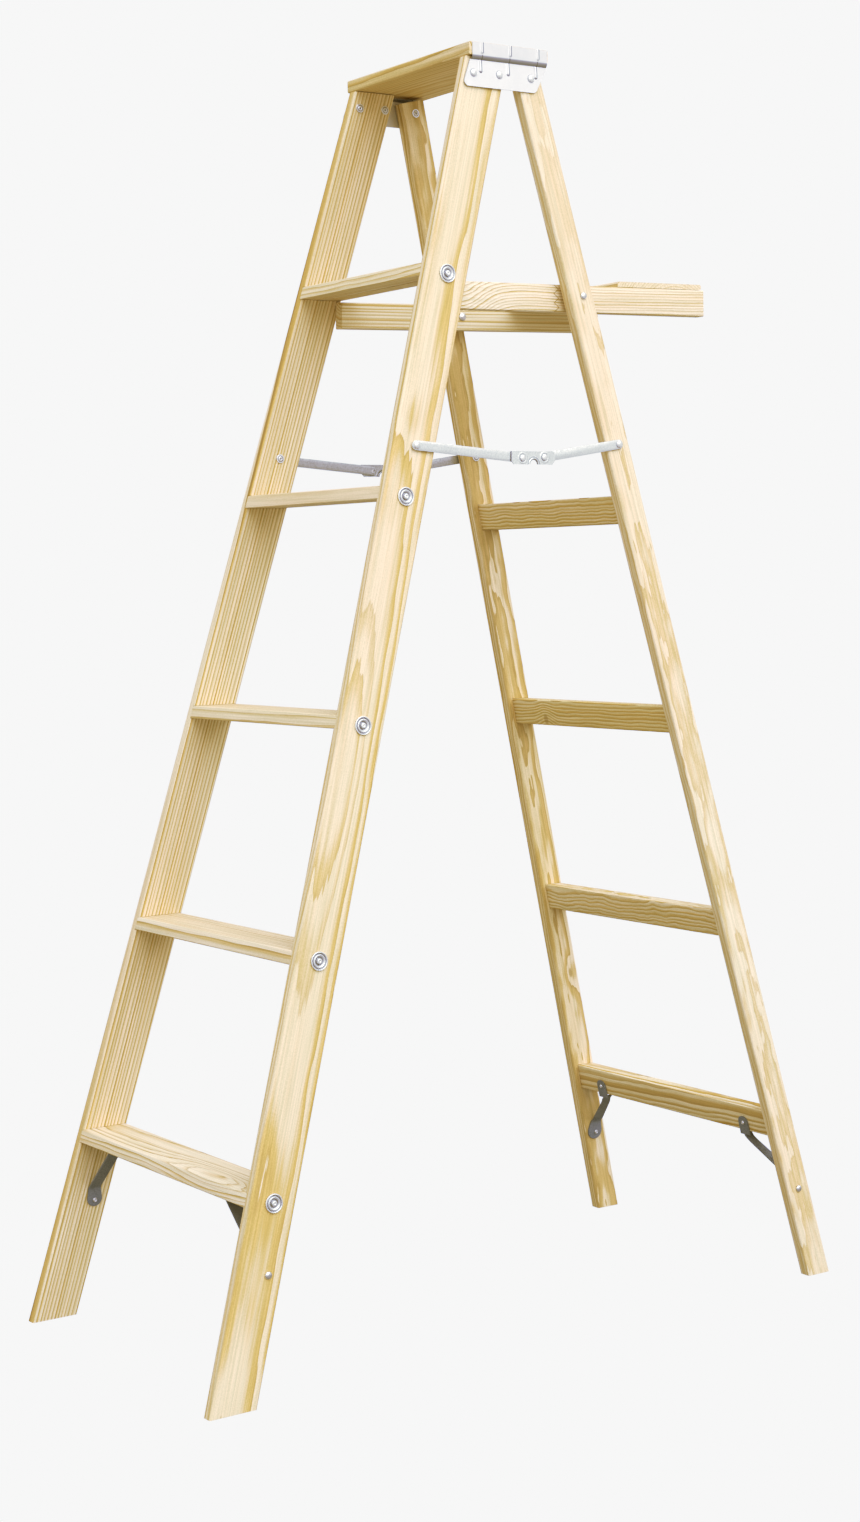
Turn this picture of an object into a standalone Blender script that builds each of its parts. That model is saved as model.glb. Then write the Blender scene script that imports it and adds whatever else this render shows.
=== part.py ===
"""Folding wooden stepladder with a pail shelf, built piece by piece.

Metres, +Z up, +X to the climber's right-hand side of the ladder, -Y towards the climber.
The floor is z = 0 and the origin is midway between the front and rear feet.
Every level position below is measured from the front edge of the front feet (FOOT_Y).
"""
import math

import bmesh
import bpy
from mathutils import Matrix, Vector

# ---- overall frame -------------------------------------------------------------------------
GAP = 0.0003                 # air left between neighbouring pieces
OPEN_DEPTH = 1.0354          # front edge of front feet to rear edge of rear feet
FOOT_Y = -OPEN_DEPTH / 2

STEP_PITCH = 0.2926          # level spacing of the treads: 12 in along the rail
FIRST_TREAD_TOP = 0.2644
TREAD_COUNT = 5
TREAD_THICKNESS = 0.0174
TREAD_DEPTH = 0.0662
HOUSING_DEPTH = 0.0035       # how far treads and rear bars are let into the rails

FRONT_LEAN = 0.2963          # metres back for each metre up
FRONT_TAPER = 0.0669         # metres in, each side, for each metre up
FRONT_HALF_WIDTH = 0.2590    # outer face at the floor
FRONT_RAIL_DEPTH = 0.0679    # level section, front to back
FRONT_RAIL_THICKNESS = 0.0165

REAR_LEAN = 0.2410
REAR_TAPER = 0.0640
REAR_HALF_WIDTH = 0.2551
REAR_RAIL_DEPTH = 0.0408
REAR_RAIL_THICKNESS = 0.0185
REAR_TOP_ABOVE_PIVOT = 0.0168

ARRIS = 0.0030               # rounding of the long wooden edges

CAP_HALF_LENGTH = 0.1500
CAP_FRONT = 0.5080
CAP_BACK = 0.6375
CAP_THICKNESS = 0.0170
CAP_TOP = FIRST_TREAD_TOP + TREAD_COUNT * STEP_PITCH + 0.0011
CAP_UNDERSIDE = CAP_TOP - CAP_THICKNESS
RAIL_TOP = CAP_UNDERSIDE - 0.0010

# ---- rods, rivets and sheet metal ----------------------------------------------------------
ROD_RADIUS = 0.0024
ROD_BELOW_TREAD_TOP = 0.0146
ROD_BEHIND_EDGE = 0.0344
RIVET_SHANK = 0.0024
HOLE_CLEARANCE = 0.0003
SHEET = 0.0014
STRAP_SHEET = 0.0020
STRAP_WIDTH = 0.0180
TREAD_TAB_RADIUS = 0.0112
REAR_TAB_RADIUS = 0.0132
EAR_HALF_WIDTH = 0.0098

# points in the side view: (distance behind the front feet, height)
FOLD_PIVOT = (0.6092, 1.6884)
BRACKET_RIVETS = ((0.5147, 1.6876), (0.5570, 1.6886))
SPREADER_FRONT = (0.3880, 1.1940)
ELBOW_FRONT = (0.5575, 1.1789)
ELBOW_REAR = (0.5940, 1.1800)
SPREADER_REAR = (0.7258, 1.1995)
SHELF_BOLT = (0.6800, 1.4010)
TREAD_BRACE_RIVET = (0.0944, 0.1622)
REAR_BRACE_RIVET = (0.9833, 0.1294)

REAR_BAR_TOPS = (0.2432, 0.5405, 0.8345, 1.1294)
REAR_BAR_HEIGHT = 0.0382
REAR_BAR_SETBACK = 0.0090    # bar face behind the front edge of the rear rail

LINK_WIDTH = 0.0130
REAR_LINK_LAYER = 0.1802     # inner faces of the spreader's three layers
FRONT_LINK_LAYER = 0.1820
ELBOW_LAYER = 0.1838

SHELF_ARM_THICKNESS = 0.0170
SHELF_ARM_HEIGHT = 0.0370
SHELF_FRONT = 0.4770
SHELF_BACK = 0.9250
SHELF_FRONT_HALF = 0.1470    # outer faces of the arms at their front ends
SHELF_BACK_HALF = 0.1306     # they draw in, so that they fold between the tapering rails
SHELF_TOP_FRONT = 1.4140
SHELF_RISE = 0.0096
SHELF_BOARD_FRONT = 0.7640
SHELF_BOARD_BACK = 0.9210
SHELF_BOARD_THICKNESS = 0.0075
SHELF_ARM_GAP = 0.0006       # air between an arm and its spacer, and at the board's ends
SPACER_RADIUS = 0.0070

# braces: round-ended straps in the front view, distances out from the middle plane
REAR_SCREW_HEIGHT = 0.2172
REAR_SCREW_OUT = 0.1670
TREAD_SCREW_OUT = 0.1400
TREAD_STRAP_BEND_OUT = 0.1560    # where a tread brace turns level under the tread
REAR_STRAP_TOP_OUT = 0.1640      # where a rear brace meets its ear
REAR_STRAP_SQUARE_FROM = 0.1960  # its strap is square-edged above this height
REAR_EAR_BOTTOM = 0.1990
STRAP_BELOW_RIVET = 0.0150
STRAP_BEND_ABOVE_RIVET = 0.0180

# fasteners: (radius, height) of the round heads and of the upset tails
RIVET_HEAD = (0.0050, 0.0026)
RIVET_TAIL = (0.0062, 0.0014)
BOLT_TAIL = (0.0056, 0.0030)
ELBOW_HEAD = (0.0046, 0.0020)
SEAT = 0.0007                # air under a head or tail, clear of a sloping face
SCREW_HEAD = (0.0036, 0.0018)
SCREW_RADIUS = 0.0016
SCREW_LENGTH = 0.0110

# top brackets: heights and corners of the plate in the side view
PLATE_BOTTOM = 1.6698
PLATE_FRONT = 0.5109         # the front edge slants from here down along the front rail's front edge
PLATE_FRONT_CORNER = (0.5060, 0.0065)   # centre and radius of the rounded lower corners
PLATE_BACK_CORNER = (0.6117, 0.0080)
PLATE_BACK_TOP = 1.7028      # the slanting back edge meets the wrap's back edge here
WRAP_FRONT = 0.5125
WRAP_BACK = 0.6355
PLATE_CLEARANCE = 0.0011      # room for the rear rail to turn: its outer face leans with its taper
LIP_DROP = 0.0060            # the rolled lip reaches this far below the cap
ELBOW_TOP = 1.1880
ELBOW_BOTTOM = 1.1706
ELBOW_CLIP = 0.0045
ELBOW_FRONT_MARGIN = 0.0190
ELBOW_REAR_MARGIN = 0.0175

CUT_FROM = 0.10              # cutters for one side start this far out
CUT_TO = 0.30                # and every cutter ends this far out

SIDES = (("left", -1), ("right", 1))


# ---- where the sloping faces are -----------------------------------------------------------
def front_edge(z):
    return FOOT_Y + FRONT_LEAN * z


def rear_edge(z):
    return FOOT_Y + OPEN_DEPTH - REAR_RAIL_DEPTH - REAR_LEAN * z


def front_outer(z):
    return FRONT_HALF_WIDTH - FRONT_TAPER * z


def rear_outer(z):
    return REAR_HALF_WIDTH - REAR_TAPER * z


def front_inner(z):
    return front_outer(z) - FRONT_RAIL_THICKNESS


def rear_inner(z):
    return rear_outer(z) - REAR_RAIL_THICKNESS


def tread_top(index):
    return FIRST_TREAD_TOP + index * STEP_PITCH


def shelf_outer(y):
    """Outer face of a shelf arm at a distance y behind the front feet."""
    share = (y - SHELF_FRONT) / (SHELF_BACK - SHELF_FRONT)
    return SHELF_FRONT_HALF + share * (SHELF_BACK_HALF - SHELF_FRONT_HALF)


def shelf_top(y):
    share = (y - SHELF_FRONT) / (SHELF_BACK - SHELF_FRONT)
    return SHELF_TOP_FRONT + share * SHELF_RISE


# ---- scene helpers -------------------------------------------------------------------------
def clear_scene():
    for item in list(bpy.data.objects):
        bpy.data.objects.remove(item, do_unlink=True)


def make_material(name, colour, roughness, metallic):
    material = bpy.data.materials.new(name)
    material.use_nodes = True
    shader = material.node_tree.nodes["Principled BSDF"]
    shader.inputs["Base Color"].default_value = (*colour, 1.0)
    shader.inputs["Roughness"].default_value = roughness
    shader.inputs["Metallic"].default_value = metallic
    return material


def make_pivot(name, point):
    """An empty on a joint's axis, which carries the pieces that turn about it."""
    empty = bpy.data.objects.new(name, None)
    empty.location = (0.0, FOOT_Y + point[0], point[1])
    bpy.context.scene.collection.objects.link(empty)
    return empty


def add_piece(name, shape, material, parent=None, smooth=False):
    """Turn a bmesh in world coordinates into an object whose origin is its parent's."""
    origin = parent.location.copy() if parent else Vector((0, 0, 0))
    bmesh.ops.translate(shape, verts=shape.verts, vec=-origin)
    bmesh.ops.recalc_face_normals(shape, faces=shape.faces)
    mesh = bpy.data.meshes.new(name)
    shape.to_mesh(mesh)
    shape.free()
    if smooth:
        mesh.shade_smooth()
        mesh.set_sharp_from_angle(angle=math.radians(40))
    piece = bpy.data.objects.new(name, mesh)
    piece.parent = parent
    bpy.context.scene.collection.objects.link(piece)
    if material:
        piece.data.materials.append(material)
    return piece


def add_cutter(name, shape, parent=None):
    cutter = add_piece(name, shape, None, parent)
    cutter.hide_render = True
    cutter.display_type = "WIRE"
    return cutter


def combine(piece, operation, cutter):
    modifier = piece.modifiers.new(operation.lower(), "BOOLEAN")
    modifier.operation = operation
    modifier.object = cutter
    modifier.solver = "EXACT"


# ---- shapes --------------------------------------------------------------------------------
def prism(shape, bottom, top):
    """A closed prism between two matching outlines of 3-D points. Returns its edges."""
    low = [shape.verts.new(point) for point in bottom]
    high = [shape.verts.new(point) for point in top]
    shape.faces.new(low)
    shape.faces.new(high)
    count = len(low)
    for i in range(count):
        j = (i + 1) % count
        shape.faces.new((low[i], low[j], high[j], high[i]))
    return [shape.edges.get((low[i], high[i])) for i in range(count)]


def round_edges(shape, edges, radius=ARRIS, segments=2):
    bmesh.ops.bevel(shape, geom=edges, offset=radius, segments=segments, profile=0.5,
                    affect="EDGES", clamp_overlap=True)


def side_prism(outline, x_low, x_high, taper=0.0):
    """Extrude a side-view outline of (y, z) points along X; taper shears it with height."""
    shape = bmesh.new()
    low = [(x_low - taper * z, FOOT_Y + y, z) for y, z in outline]
    high = [(x_high - taper * z, FOOT_Y + y, z) for y, z in outline]
    prism(shape, low, high)
    return shape


def strip(centre_line, thickness, y_low, y_high, side):
    """A bent strap: a front-view path of (x, z) points, thickened and extruded along Y."""
    points = [Vector(point) for point in centre_line]
    left, right = [], []
    for i, point in enumerate(points):
        before = (point - points[i - 1]).normalized() if i else None
        after = (points[i + 1] - point).normalized() if i + 1 < len(points) else None
        before = before or after
        after = after or before
        mitre = Vector((-(before + after).y, (before + after).x)).normalized()
        across = Vector((-before.y, before.x))
        reach = thickness / 2 / mitre.dot(across)
        left.append(point + mitre * reach)
        right.append(point - mitre * reach)
    outline = left + right[::-1]
    shape = bmesh.new()
    near = [(side * x, FOOT_Y + y_low, z) for x, z in outline]
    far = [(side * x, FOOT_Y + y_high, z) for x, z in outline]
    prism(shape, near, far)
    return shape


def arc(centre, radius, start, end, steps):
    """Points of a circular arc in the side view, angles in degrees from +Y towards +Z."""
    points = []
    for i in range(steps + 1):
        angle = math.radians(start + (end - start) * i / steps)
        points.append((centre[0] + radius * math.cos(angle), centre[1] + radius * math.sin(angle)))
    return points


def stadium(first, second, radius, steps=6):
    """Outline of a flat bar with round ends about two points of the side view."""
    heading = math.degrees(math.atan2(second[1] - first[1], second[0] - first[0]))
    return (arc(second, radius, heading - 90, heading + 90, steps)
            + arc(first, radius, heading + 90, heading + 270, steps))


def lathe(profile, base, direction, segments):
    """Turn (radius, distance) points about an axis; the first and last lie on the axis."""
    shape = bmesh.new()
    rings = []
    for radius, distance in profile:
        if radius == 0.0:
            rings.append([shape.verts.new((0, 0, distance))])
            continue
        ring = []
        for i in range(segments):
            angle = 2 * math.pi * i / segments
            ring.append(shape.verts.new((radius * math.cos(angle), radius * math.sin(angle), distance)))
        rings.append(ring)
    for low, high in zip(rings, rings[1:]):
        for i in range(segments):
            j = (i + 1) % segments
            corners = (low[i % len(low)], low[j % len(low)], high[j % len(high)], high[i % len(high)])
            shape.faces.new(list(dict.fromkeys(corners)))
    turn = Vector((0, 0, 1)).rotation_difference(Vector(direction)).to_matrix().to_4x4()
    bmesh.ops.transform(shape, matrix=Matrix.Translation(Vector(base)) @ turn, verts=shape.verts)
    return shape


def merge(target, source):
    """Add one bmesh's geometry to another as a separate body."""
    copies = {vert: target.verts.new(vert.co) for vert in source.verts}
    for face in source.faces:
        target.faces.new([copies[vert] for vert in face.verts])
    source.free()


def drill(points, radius, side):
    """One cutter mesh of round holes along X through one side of the ladder."""
    shape = bmesh.new()
    length = CUT_TO - CUT_FROM
    for y, z in points:
        profile = ((0.0, 0.0), (radius, 0.0), (radius, length), (0.0, length))
        merge(shape, lathe(profile, (side * CUT_FROM, FOOT_Y + y, z), (side, 0, 0), 12))
    return shape


def cut_outline(outline):
    """A side-view outline extruded right across the ladder, for trimming a bent strap."""
    return side_prism(outline, -CUT_TO, CUT_TO)


def dome(radius, height, base, steps=3):
    """Profile points of a round head that rises from base to the axis."""
    points = []
    for i in range(steps):
        angle = math.radians(90 * i / steps)
        points.append((radius * math.cos(angle), base + height * math.sin(angle)))
    points.append((0.0, base + height))
    return points


def rivet_shape(head_x, tail_x, point, side, head=RIVET_HEAD, tail=RIVET_TAIL):
    """A rivet along X: round head outside at head_x, upset tail with its washer at tail_x."""
    length = abs(head_x - tail_x)
    profile = [(0.0, -tail[1]), (tail[0] * 0.8, -tail[1]), (tail[0], 0.0)]
    profile += [(RIVET_SHANK, 0.0), (RIVET_SHANK, length)]
    profile += dome(head[0], head[1], length)
    return lathe(profile, (side * tail_x, FOOT_Y + point[0], point[1]), (side, 0, 0), 12)


# ---- wooden pieces -------------------------------------------------------------------------
def front_section_holes():
    holes = [(FRONT_LEAN * (tread_top(i) - ROD_BELOW_TREAD_TOP) + ROD_BEHIND_EDGE,
              tread_top(i) - ROD_BELOW_TREAD_TOP) for i in range(TREAD_COUNT)]
    return holes + [*BRACKET_RIVETS, SPREADER_FRONT, TREAD_BRACE_RIVET]


def make_rail(name, side, edge, outer, depth, thickness, top_offsets, material, parent=None):
    """A leaning, tapering rail cut level at the foot. top_offsets are the two top heights."""
    shape = bmesh.new()
    rows = []
    for front_z, back_z in ((0.0, 0.0), top_offsets):
        rows.append([
            (side * outer(front_z), edge(front_z), front_z),
            (side * outer(back_z), edge(back_z) + depth, back_z),
            (side * (outer(back_z) - thickness), edge(back_z) + depth, back_z),
            (side * (outer(front_z) - thickness), edge(front_z), front_z)])
    round_edges(shape, prism(shape, rows[0], rows[1]))
    return add_piece(name, shape, material, parent)


def housing_cutter(tops, height, edge, inner, y_offset, y_end, side):
    """Pockets in a rail's inner face for the ends of the treads or rear bars."""
    shape = bmesh.new()
    for top in tops:
        rows = []
        for z in (top - height - GAP, top + GAP):
            bottom_of_pocket = side * (inner(z) + HOUSING_DEPTH + GAP)
            room = side * (inner(z) - 0.004)
            y_low = edge(z) + y_offset
            y_high = edge(z) + y_end
            rows.append([(bottom_of_pocket, y_low, z), (bottom_of_pocket, y_high, z),
                         (room, y_high, z), (room, y_low, z)])
        prism(shape, rows[0], rows[1])
    return shape


def make_cross_piece(name, top, height, edge, inner, y_offset, depth, material, parent=None):
    """A tread or rear bar: its faces lean with the rails and its ends sit in their pockets."""
    shape = bmesh.new()
    rows = []
    for z in (top - height, top):
        reach = inner(z) + HOUSING_DEPTH
        y_low = edge(z) + y_offset
        rows.append([(-reach, y_low, z), (reach, y_low, z),
                     (reach, y_low + depth, z), (-reach, y_low + depth, z)])
    prism(shape, rows[0], rows[1])
    long_edges = [e for e in shape.edges if abs(e.verts[0].co.x - e.verts[1].co.x) > inner(top)]
    round_edges(shape, long_edges, radius=0.0015, segments=1)
    return add_piece(name, shape, material, parent)


def make_front_rails(wood):
    tops = [tread_top(i) for i in range(TREAD_COUNT)]
    for label, side in SIDES:
        rail = make_rail(f"front_rail_{label}", side, front_edge, front_outer, FRONT_RAIL_DEPTH,
                         FRONT_RAIL_THICKNESS, (RAIL_TOP, RAIL_TOP), wood)
        pockets = housing_cutter(tops, TREAD_THICKNESS, front_edge, front_inner, -0.004,
                                 TREAD_DEPTH + GAP, side)
        combine(rail, "DIFFERENCE", add_cutter(f"front_pockets_{label}", pockets))
        holes = drill(front_section_holes(), ROD_RADIUS + HOLE_CLEARANCE, side)
        combine(rail, "DIFFERENCE", add_cutter(f"front_holes_{label}", holes))


def make_treads(wood):
    for i in range(TREAD_COUNT):
        tread = make_cross_piece(f"tread_{i + 1}", tread_top(i), TREAD_THICKNESS, front_edge,
                                 front_inner, 0.0, TREAD_DEPTH, wood)
        rod_z = tread_top(i) - ROD_BELOW_TREAD_TOP
        rod_y = FRONT_LEAN * rod_z + ROD_BEHIND_EDGE
        half = ROD_RADIUS + HOLE_CLEARANCE
        groove = arc((rod_y, rod_z), half, 0, 180, 6)
        groove += [(rod_y - half, rod_z - 0.01), (rod_y + half, rod_z - 0.01)]
        combine(tread, "DIFFERENCE", add_cutter(f"rod_groove_{i + 1}", cut_outline(groove)))


def washer_shape(side, point):
    """The cupped washer on a rod's end with the rod's peened tip, square to the rail's face."""
    tilt = Vector((1.0, 0.0, FRONT_TAPER)).normalized()
    direction = Vector((side * tilt.x, 0.0, tilt.z))
    face = Vector((side * front_outer(point[1]), FOOT_Y + point[0], point[1]))
    profile = [(0.0, 0.0), (0.0123, 0.0), (0.0123, 0.0013), (0.0112, 0.0022), (0.0086, 0.0013),
               (0.0048, 0.0011), (0.0042, 0.0028), (0.0024, 0.0037), (0.0, 0.0040)]
    return lathe(profile, face + direction * GAP, direction, 16)


def make_tread_rods(steel):
    for i in range(TREAD_COUNT):
        z = tread_top(i) - ROD_BELOW_TREAD_TOP
        point = (FRONT_LEAN * z + ROD_BEHIND_EDGE, z)
        reach = front_outer(z) + 0.0015
        profile = ((0.0, -reach), (ROD_RADIUS, -reach), (ROD_RADIUS, reach), (0.0, reach))
        rod_shape = lathe(profile, (0.0, FOOT_Y + point[0], z), (1, 0, 0), 12)
        rod = add_piece(f"tread_rod_{i + 1}", rod_shape, steel, smooth=True)
        for label, side in SIDES:
            washer = add_cutter(f"rod_washer_{i + 1}_{label}", washer_shape(side, point))
            combine(rod, "UNION", washer)


def make_top_cap(wood):
    shape = bmesh.new()
    rows = []
    for z in (CAP_UNDERSIDE, CAP_TOP):
        rows.append([(-CAP_HALF_LENGTH, FOOT_Y + CAP_FRONT, z), (CAP_HALF_LENGTH, FOOT_Y + CAP_FRONT, z),
                     (CAP_HALF_LENGTH, FOOT_Y + CAP_BACK, z), (-CAP_HALF_LENGTH, FOOT_Y + CAP_BACK, z)])
    prism(shape, rows[0], rows[1])
    round_edges(shape, [e for e in shape.edges if abs(e.verts[0].co.x - e.verts[1].co.x) > 0.1],
                radius=0.0025)
    add_piece("top_cap", shape, wood)


def make_rear_rails(wood, parent):
    lean = math.atan(REAR_LEAN)
    half = REAR_RAIL_DEPTH * math.cos(lean) / 2
    rise = REAR_TOP_ABOVE_PIVOT * math.cos(lean)
    tops = (FOLD_PIVOT[1] + rise - half * math.sin(lean), FOLD_PIVOT[1] + rise + half * math.sin(lean))
    for label, side in SIDES:
        rail = make_rail(f"rear_rail_{label}", side, rear_edge, rear_outer, REAR_RAIL_DEPTH,
                         REAR_RAIL_THICKNESS, tops, wood, parent)
        pockets = housing_cutter(REAR_BAR_TOPS, REAR_BAR_HEIGHT, rear_edge, rear_inner,
                                 REAR_BAR_SETBACK - GAP, REAR_RAIL_DEPTH + 0.004, side)
        combine(rail, "DIFFERENCE", add_cutter(f"rear_pockets_{label}", pockets, parent))
        points = [FOLD_PIVOT, SHELF_BOLT, SPREADER_REAR, REAR_BRACE_RIVET]
        holes = drill(points, RIVET_SHANK + HOLE_CLEARANCE, side)
        combine(rail, "DIFFERENCE", add_cutter(f"rear_holes_{label}", holes, parent))


def make_rear_bars(wood, parent):
    depth = REAR_RAIL_DEPTH - REAR_BAR_SETBACK - 0.0005
    for i, top in enumerate(REAR_BAR_TOPS):
        bar = make_cross_piece(f"rear_bar_{i + 1}", top, REAR_BAR_HEIGHT, rear_edge, rear_inner,
                               REAR_BAR_SETBACK, depth, wood, parent)
        if i == 0:
            shape = bmesh.new()
            for label, side in SIDES:
                merge(shape, screw_shape(rear_screw_face(side), (0, 1, REAR_LEAN), HOLE_CLEARANCE))
            combine(bar, "DIFFERENCE", add_cutter("rear_bar_screw_holes", shape, parent))


# ---- braces --------------------------------------------------------------------------------
def rear_screw_face(side):
    y = rear_edge(REAR_SCREW_HEIGHT) + REAR_BAR_SETBACK - GAP - STRAP_SHEET - GAP
    return Vector((side * REAR_SCREW_OUT, y, REAR_SCREW_HEIGHT))


def tread_screw_face(side):
    z = tread_top(0) - TREAD_THICKNESS - GAP - STRAP_SHEET - GAP
    return Vector((side * TREAD_SCREW_OUT, FOOT_Y + TREAD_BRACE_RIVET[0], z))


def screw_shape(face, direction, clearance=0.0):
    """A round-head screw whose head sits at face; direction points into the wood."""
    way = Vector(direction).normalized()
    head, height = SCREW_HEAD
    shank = SCREW_RADIUS + clearance
    profile = [(0.0, -height), (head * 0.6, -height * 0.83), (head, 0.0), (shank, 0.0)]
    profile += [(shank, SCREW_LENGTH + clearance), (0.0, SCREW_LENGTH + 2 * clearance)]
    return lathe(profile, face, way, 10)


def tab_outline(centre, radius):
    """Side-view outline of the round lower tab of a brace, which narrows up to its strap."""
    y, z = centre
    half = STRAP_WIDTH / 2
    neck = z + radius + 0.008
    return [*arc((y, z + 0.002), radius, 170, 370, 8), (y + half, neck)], [(y - half, neck)]


def make_tread_braces(steel, screws):
    y, rivet_z = TREAD_BRACE_RIVET
    under = tread_top(0) - TREAD_THICKNESS - GAP - STRAP_SHEET / 2
    inward = GAP + STRAP_SHEET / 2
    low, bend = rivet_z - STRAP_BELOW_RIVET, rivet_z + STRAP_BEND_ABOVE_RIVET
    path = [(front_inner(low) - inward, low), (front_inner(bend) - inward, bend),
            (TREAD_STRAP_BEND_OUT + 0.0040, under - 0.0006), (TREAD_STRAP_BEND_OUT, under),
            (TREAD_SCREW_OUT - STRAP_WIDTH / 2, under)]
    right, left = tab_outline((y, rivet_z), TREAD_TAB_RADIUS)
    top = tread_top(0)
    outline = right + [(y + STRAP_WIDTH / 2, top), (y - STRAP_WIDTH / 2, top)] + left
    for label, side in SIDES:
        shape = strip(path, STRAP_SHEET, y - STRAP_WIDTH, y + STRAP_WIDTH, side)
        brace = add_piece(f"tread_brace_{label}", shape, steel)
        combine(brace, "INTERSECT", add_cutter(f"tread_brace_edge_{label}", cut_outline(outline)))
        holes = drill([TREAD_BRACE_RIVET], RIVET_SHANK + HOLE_CLEARANCE, side)
        combine(brace, "DIFFERENCE", add_cutter(f"tread_brace_hole_{label}", holes))
        way = (0, 0, 1)
        top_hole = screw_shape(tread_screw_face(side), way, HOLE_CLEARANCE)
        cutter = add_cutter(f"tread_screw_hole_{label}", top_hole)
        combine(brace, "DIFFERENCE", cutter)
        combine(bpy.data.objects["tread_1"], "DIFFERENCE", cutter)
        tail = front_inner(rivet_z) - 2 * inward - SEAT
        rivet = rivet_shape(front_outer(rivet_z) + SEAT, tail, TREAD_BRACE_RIVET, side)
        add_piece(f"tread_brace_rivet_{label}", rivet, screws, smooth=True)
        screw = screw_shape(tread_screw_face(side), way)
        add_piece(f"tread_brace_screw_{label}", screw, screws, smooth=True)


def make_rear_braces(steel, screws, parent):
    y, rivet_z = REAR_BRACE_RIVET
    bar_under = REAR_BAR_TOPS[0] - REAR_BAR_HEIGHT
    inward = GAP + STRAP_SHEET / 2
    low, bend = rivet_z - STRAP_BELOW_RIVET, rivet_z + STRAP_BEND_ABOVE_RIVET
    path = [(rear_inner(low) - inward, low), (rear_inner(bend) - inward, bend),
            (REAR_STRAP_TOP_OUT, bar_under - 0.0035)]
    front = rear_edge(bar_under) - FOOT_Y + REAR_BAR_SETBACK - GAP - STRAP_SHEET * 0.4
    back = front + STRAP_WIDTH * 0.8
    right, left = tab_outline((y - 0.002, rivet_z), REAR_TAB_RADIUS)
    square, top = REAR_STRAP_SQUARE_FROM, bar_under + STRAP_WIDTH
    outline = right + [(back, square), (back, top), (front, top), (front, square)] + left
    for label, side in SIDES:
        shape = strip(path, STRAP_SHEET, y - 3 * STRAP_WIDTH, y + 3 * STRAP_WIDTH, side)
        brace = add_piece(f"rear_brace_{label}", shape, steel, parent)
        edge = add_cutter(f"rear_brace_edge_{label}", cut_outline(outline), parent)
        combine(brace, "INTERSECT", edge)
        combine(brace, "UNION", add_cutter(f"rear_brace_ear_{label}", ear_shape(side), parent))
        holes = drill([REAR_BRACE_RIVET], RIVET_SHANK + HOLE_CLEARANCE, side)
        combine(brace, "DIFFERENCE", add_cutter(f"rear_brace_hole_{label}", holes, parent))
        way = (0, 1, REAR_LEAN)
        ear_hole = screw_shape(rear_screw_face(side), way, HOLE_CLEARANCE)
        combine(brace, "DIFFERENCE", add_cutter(f"rear_screw_hole_{label}", ear_hole, parent))
        tail = rear_inner(rivet_z) - 2 * inward - SEAT
        rivet = rivet_shape(rear_outer(rivet_z) + SEAT, tail, REAR_BRACE_RIVET, side)
        add_piece(f"rear_brace_rivet_{label}", rivet, screws, parent, smooth=True)
        screw = screw_shape(rear_screw_face(side), way)
        add_piece(f"rear_brace_screw_{label}", screw, screws, parent, smooth=True)


def ear_shape(side):
    """The round-topped ear of a rear brace, flat on the front face of the lowest rear bar."""
    centre = Vector((side * REAR_SCREW_OUT, REAR_SCREW_HEIGHT))
    half = EAR_HALF_WIDTH
    outline = [(centre.x + half * math.cos(math.radians(a)), centre.y + half * math.sin(math.radians(a)))
               for a in range(0, 181, 30)]
    outline += [(centre.x - half, REAR_EAR_BOTTOM), (centre.x + half, REAR_EAR_BOTTOM)]
    back = [(x, rear_edge(z) + REAR_BAR_SETBACK - GAP, z) for x, z in outline]
    front = [(x, y - STRAP_SHEET, z) for x, y, z in back]
    shape = bmesh.new()
    prism(shape, back, front)
    return shape


# ---- top brackets and fold pivot -----------------------------------------------------------
def plate_inner(z):
    """Inner face of a bracket's lower plate, clear of the front rail and of the turning rear rail."""
    return rear_outer(z) + PLATE_CLEARANCE


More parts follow.
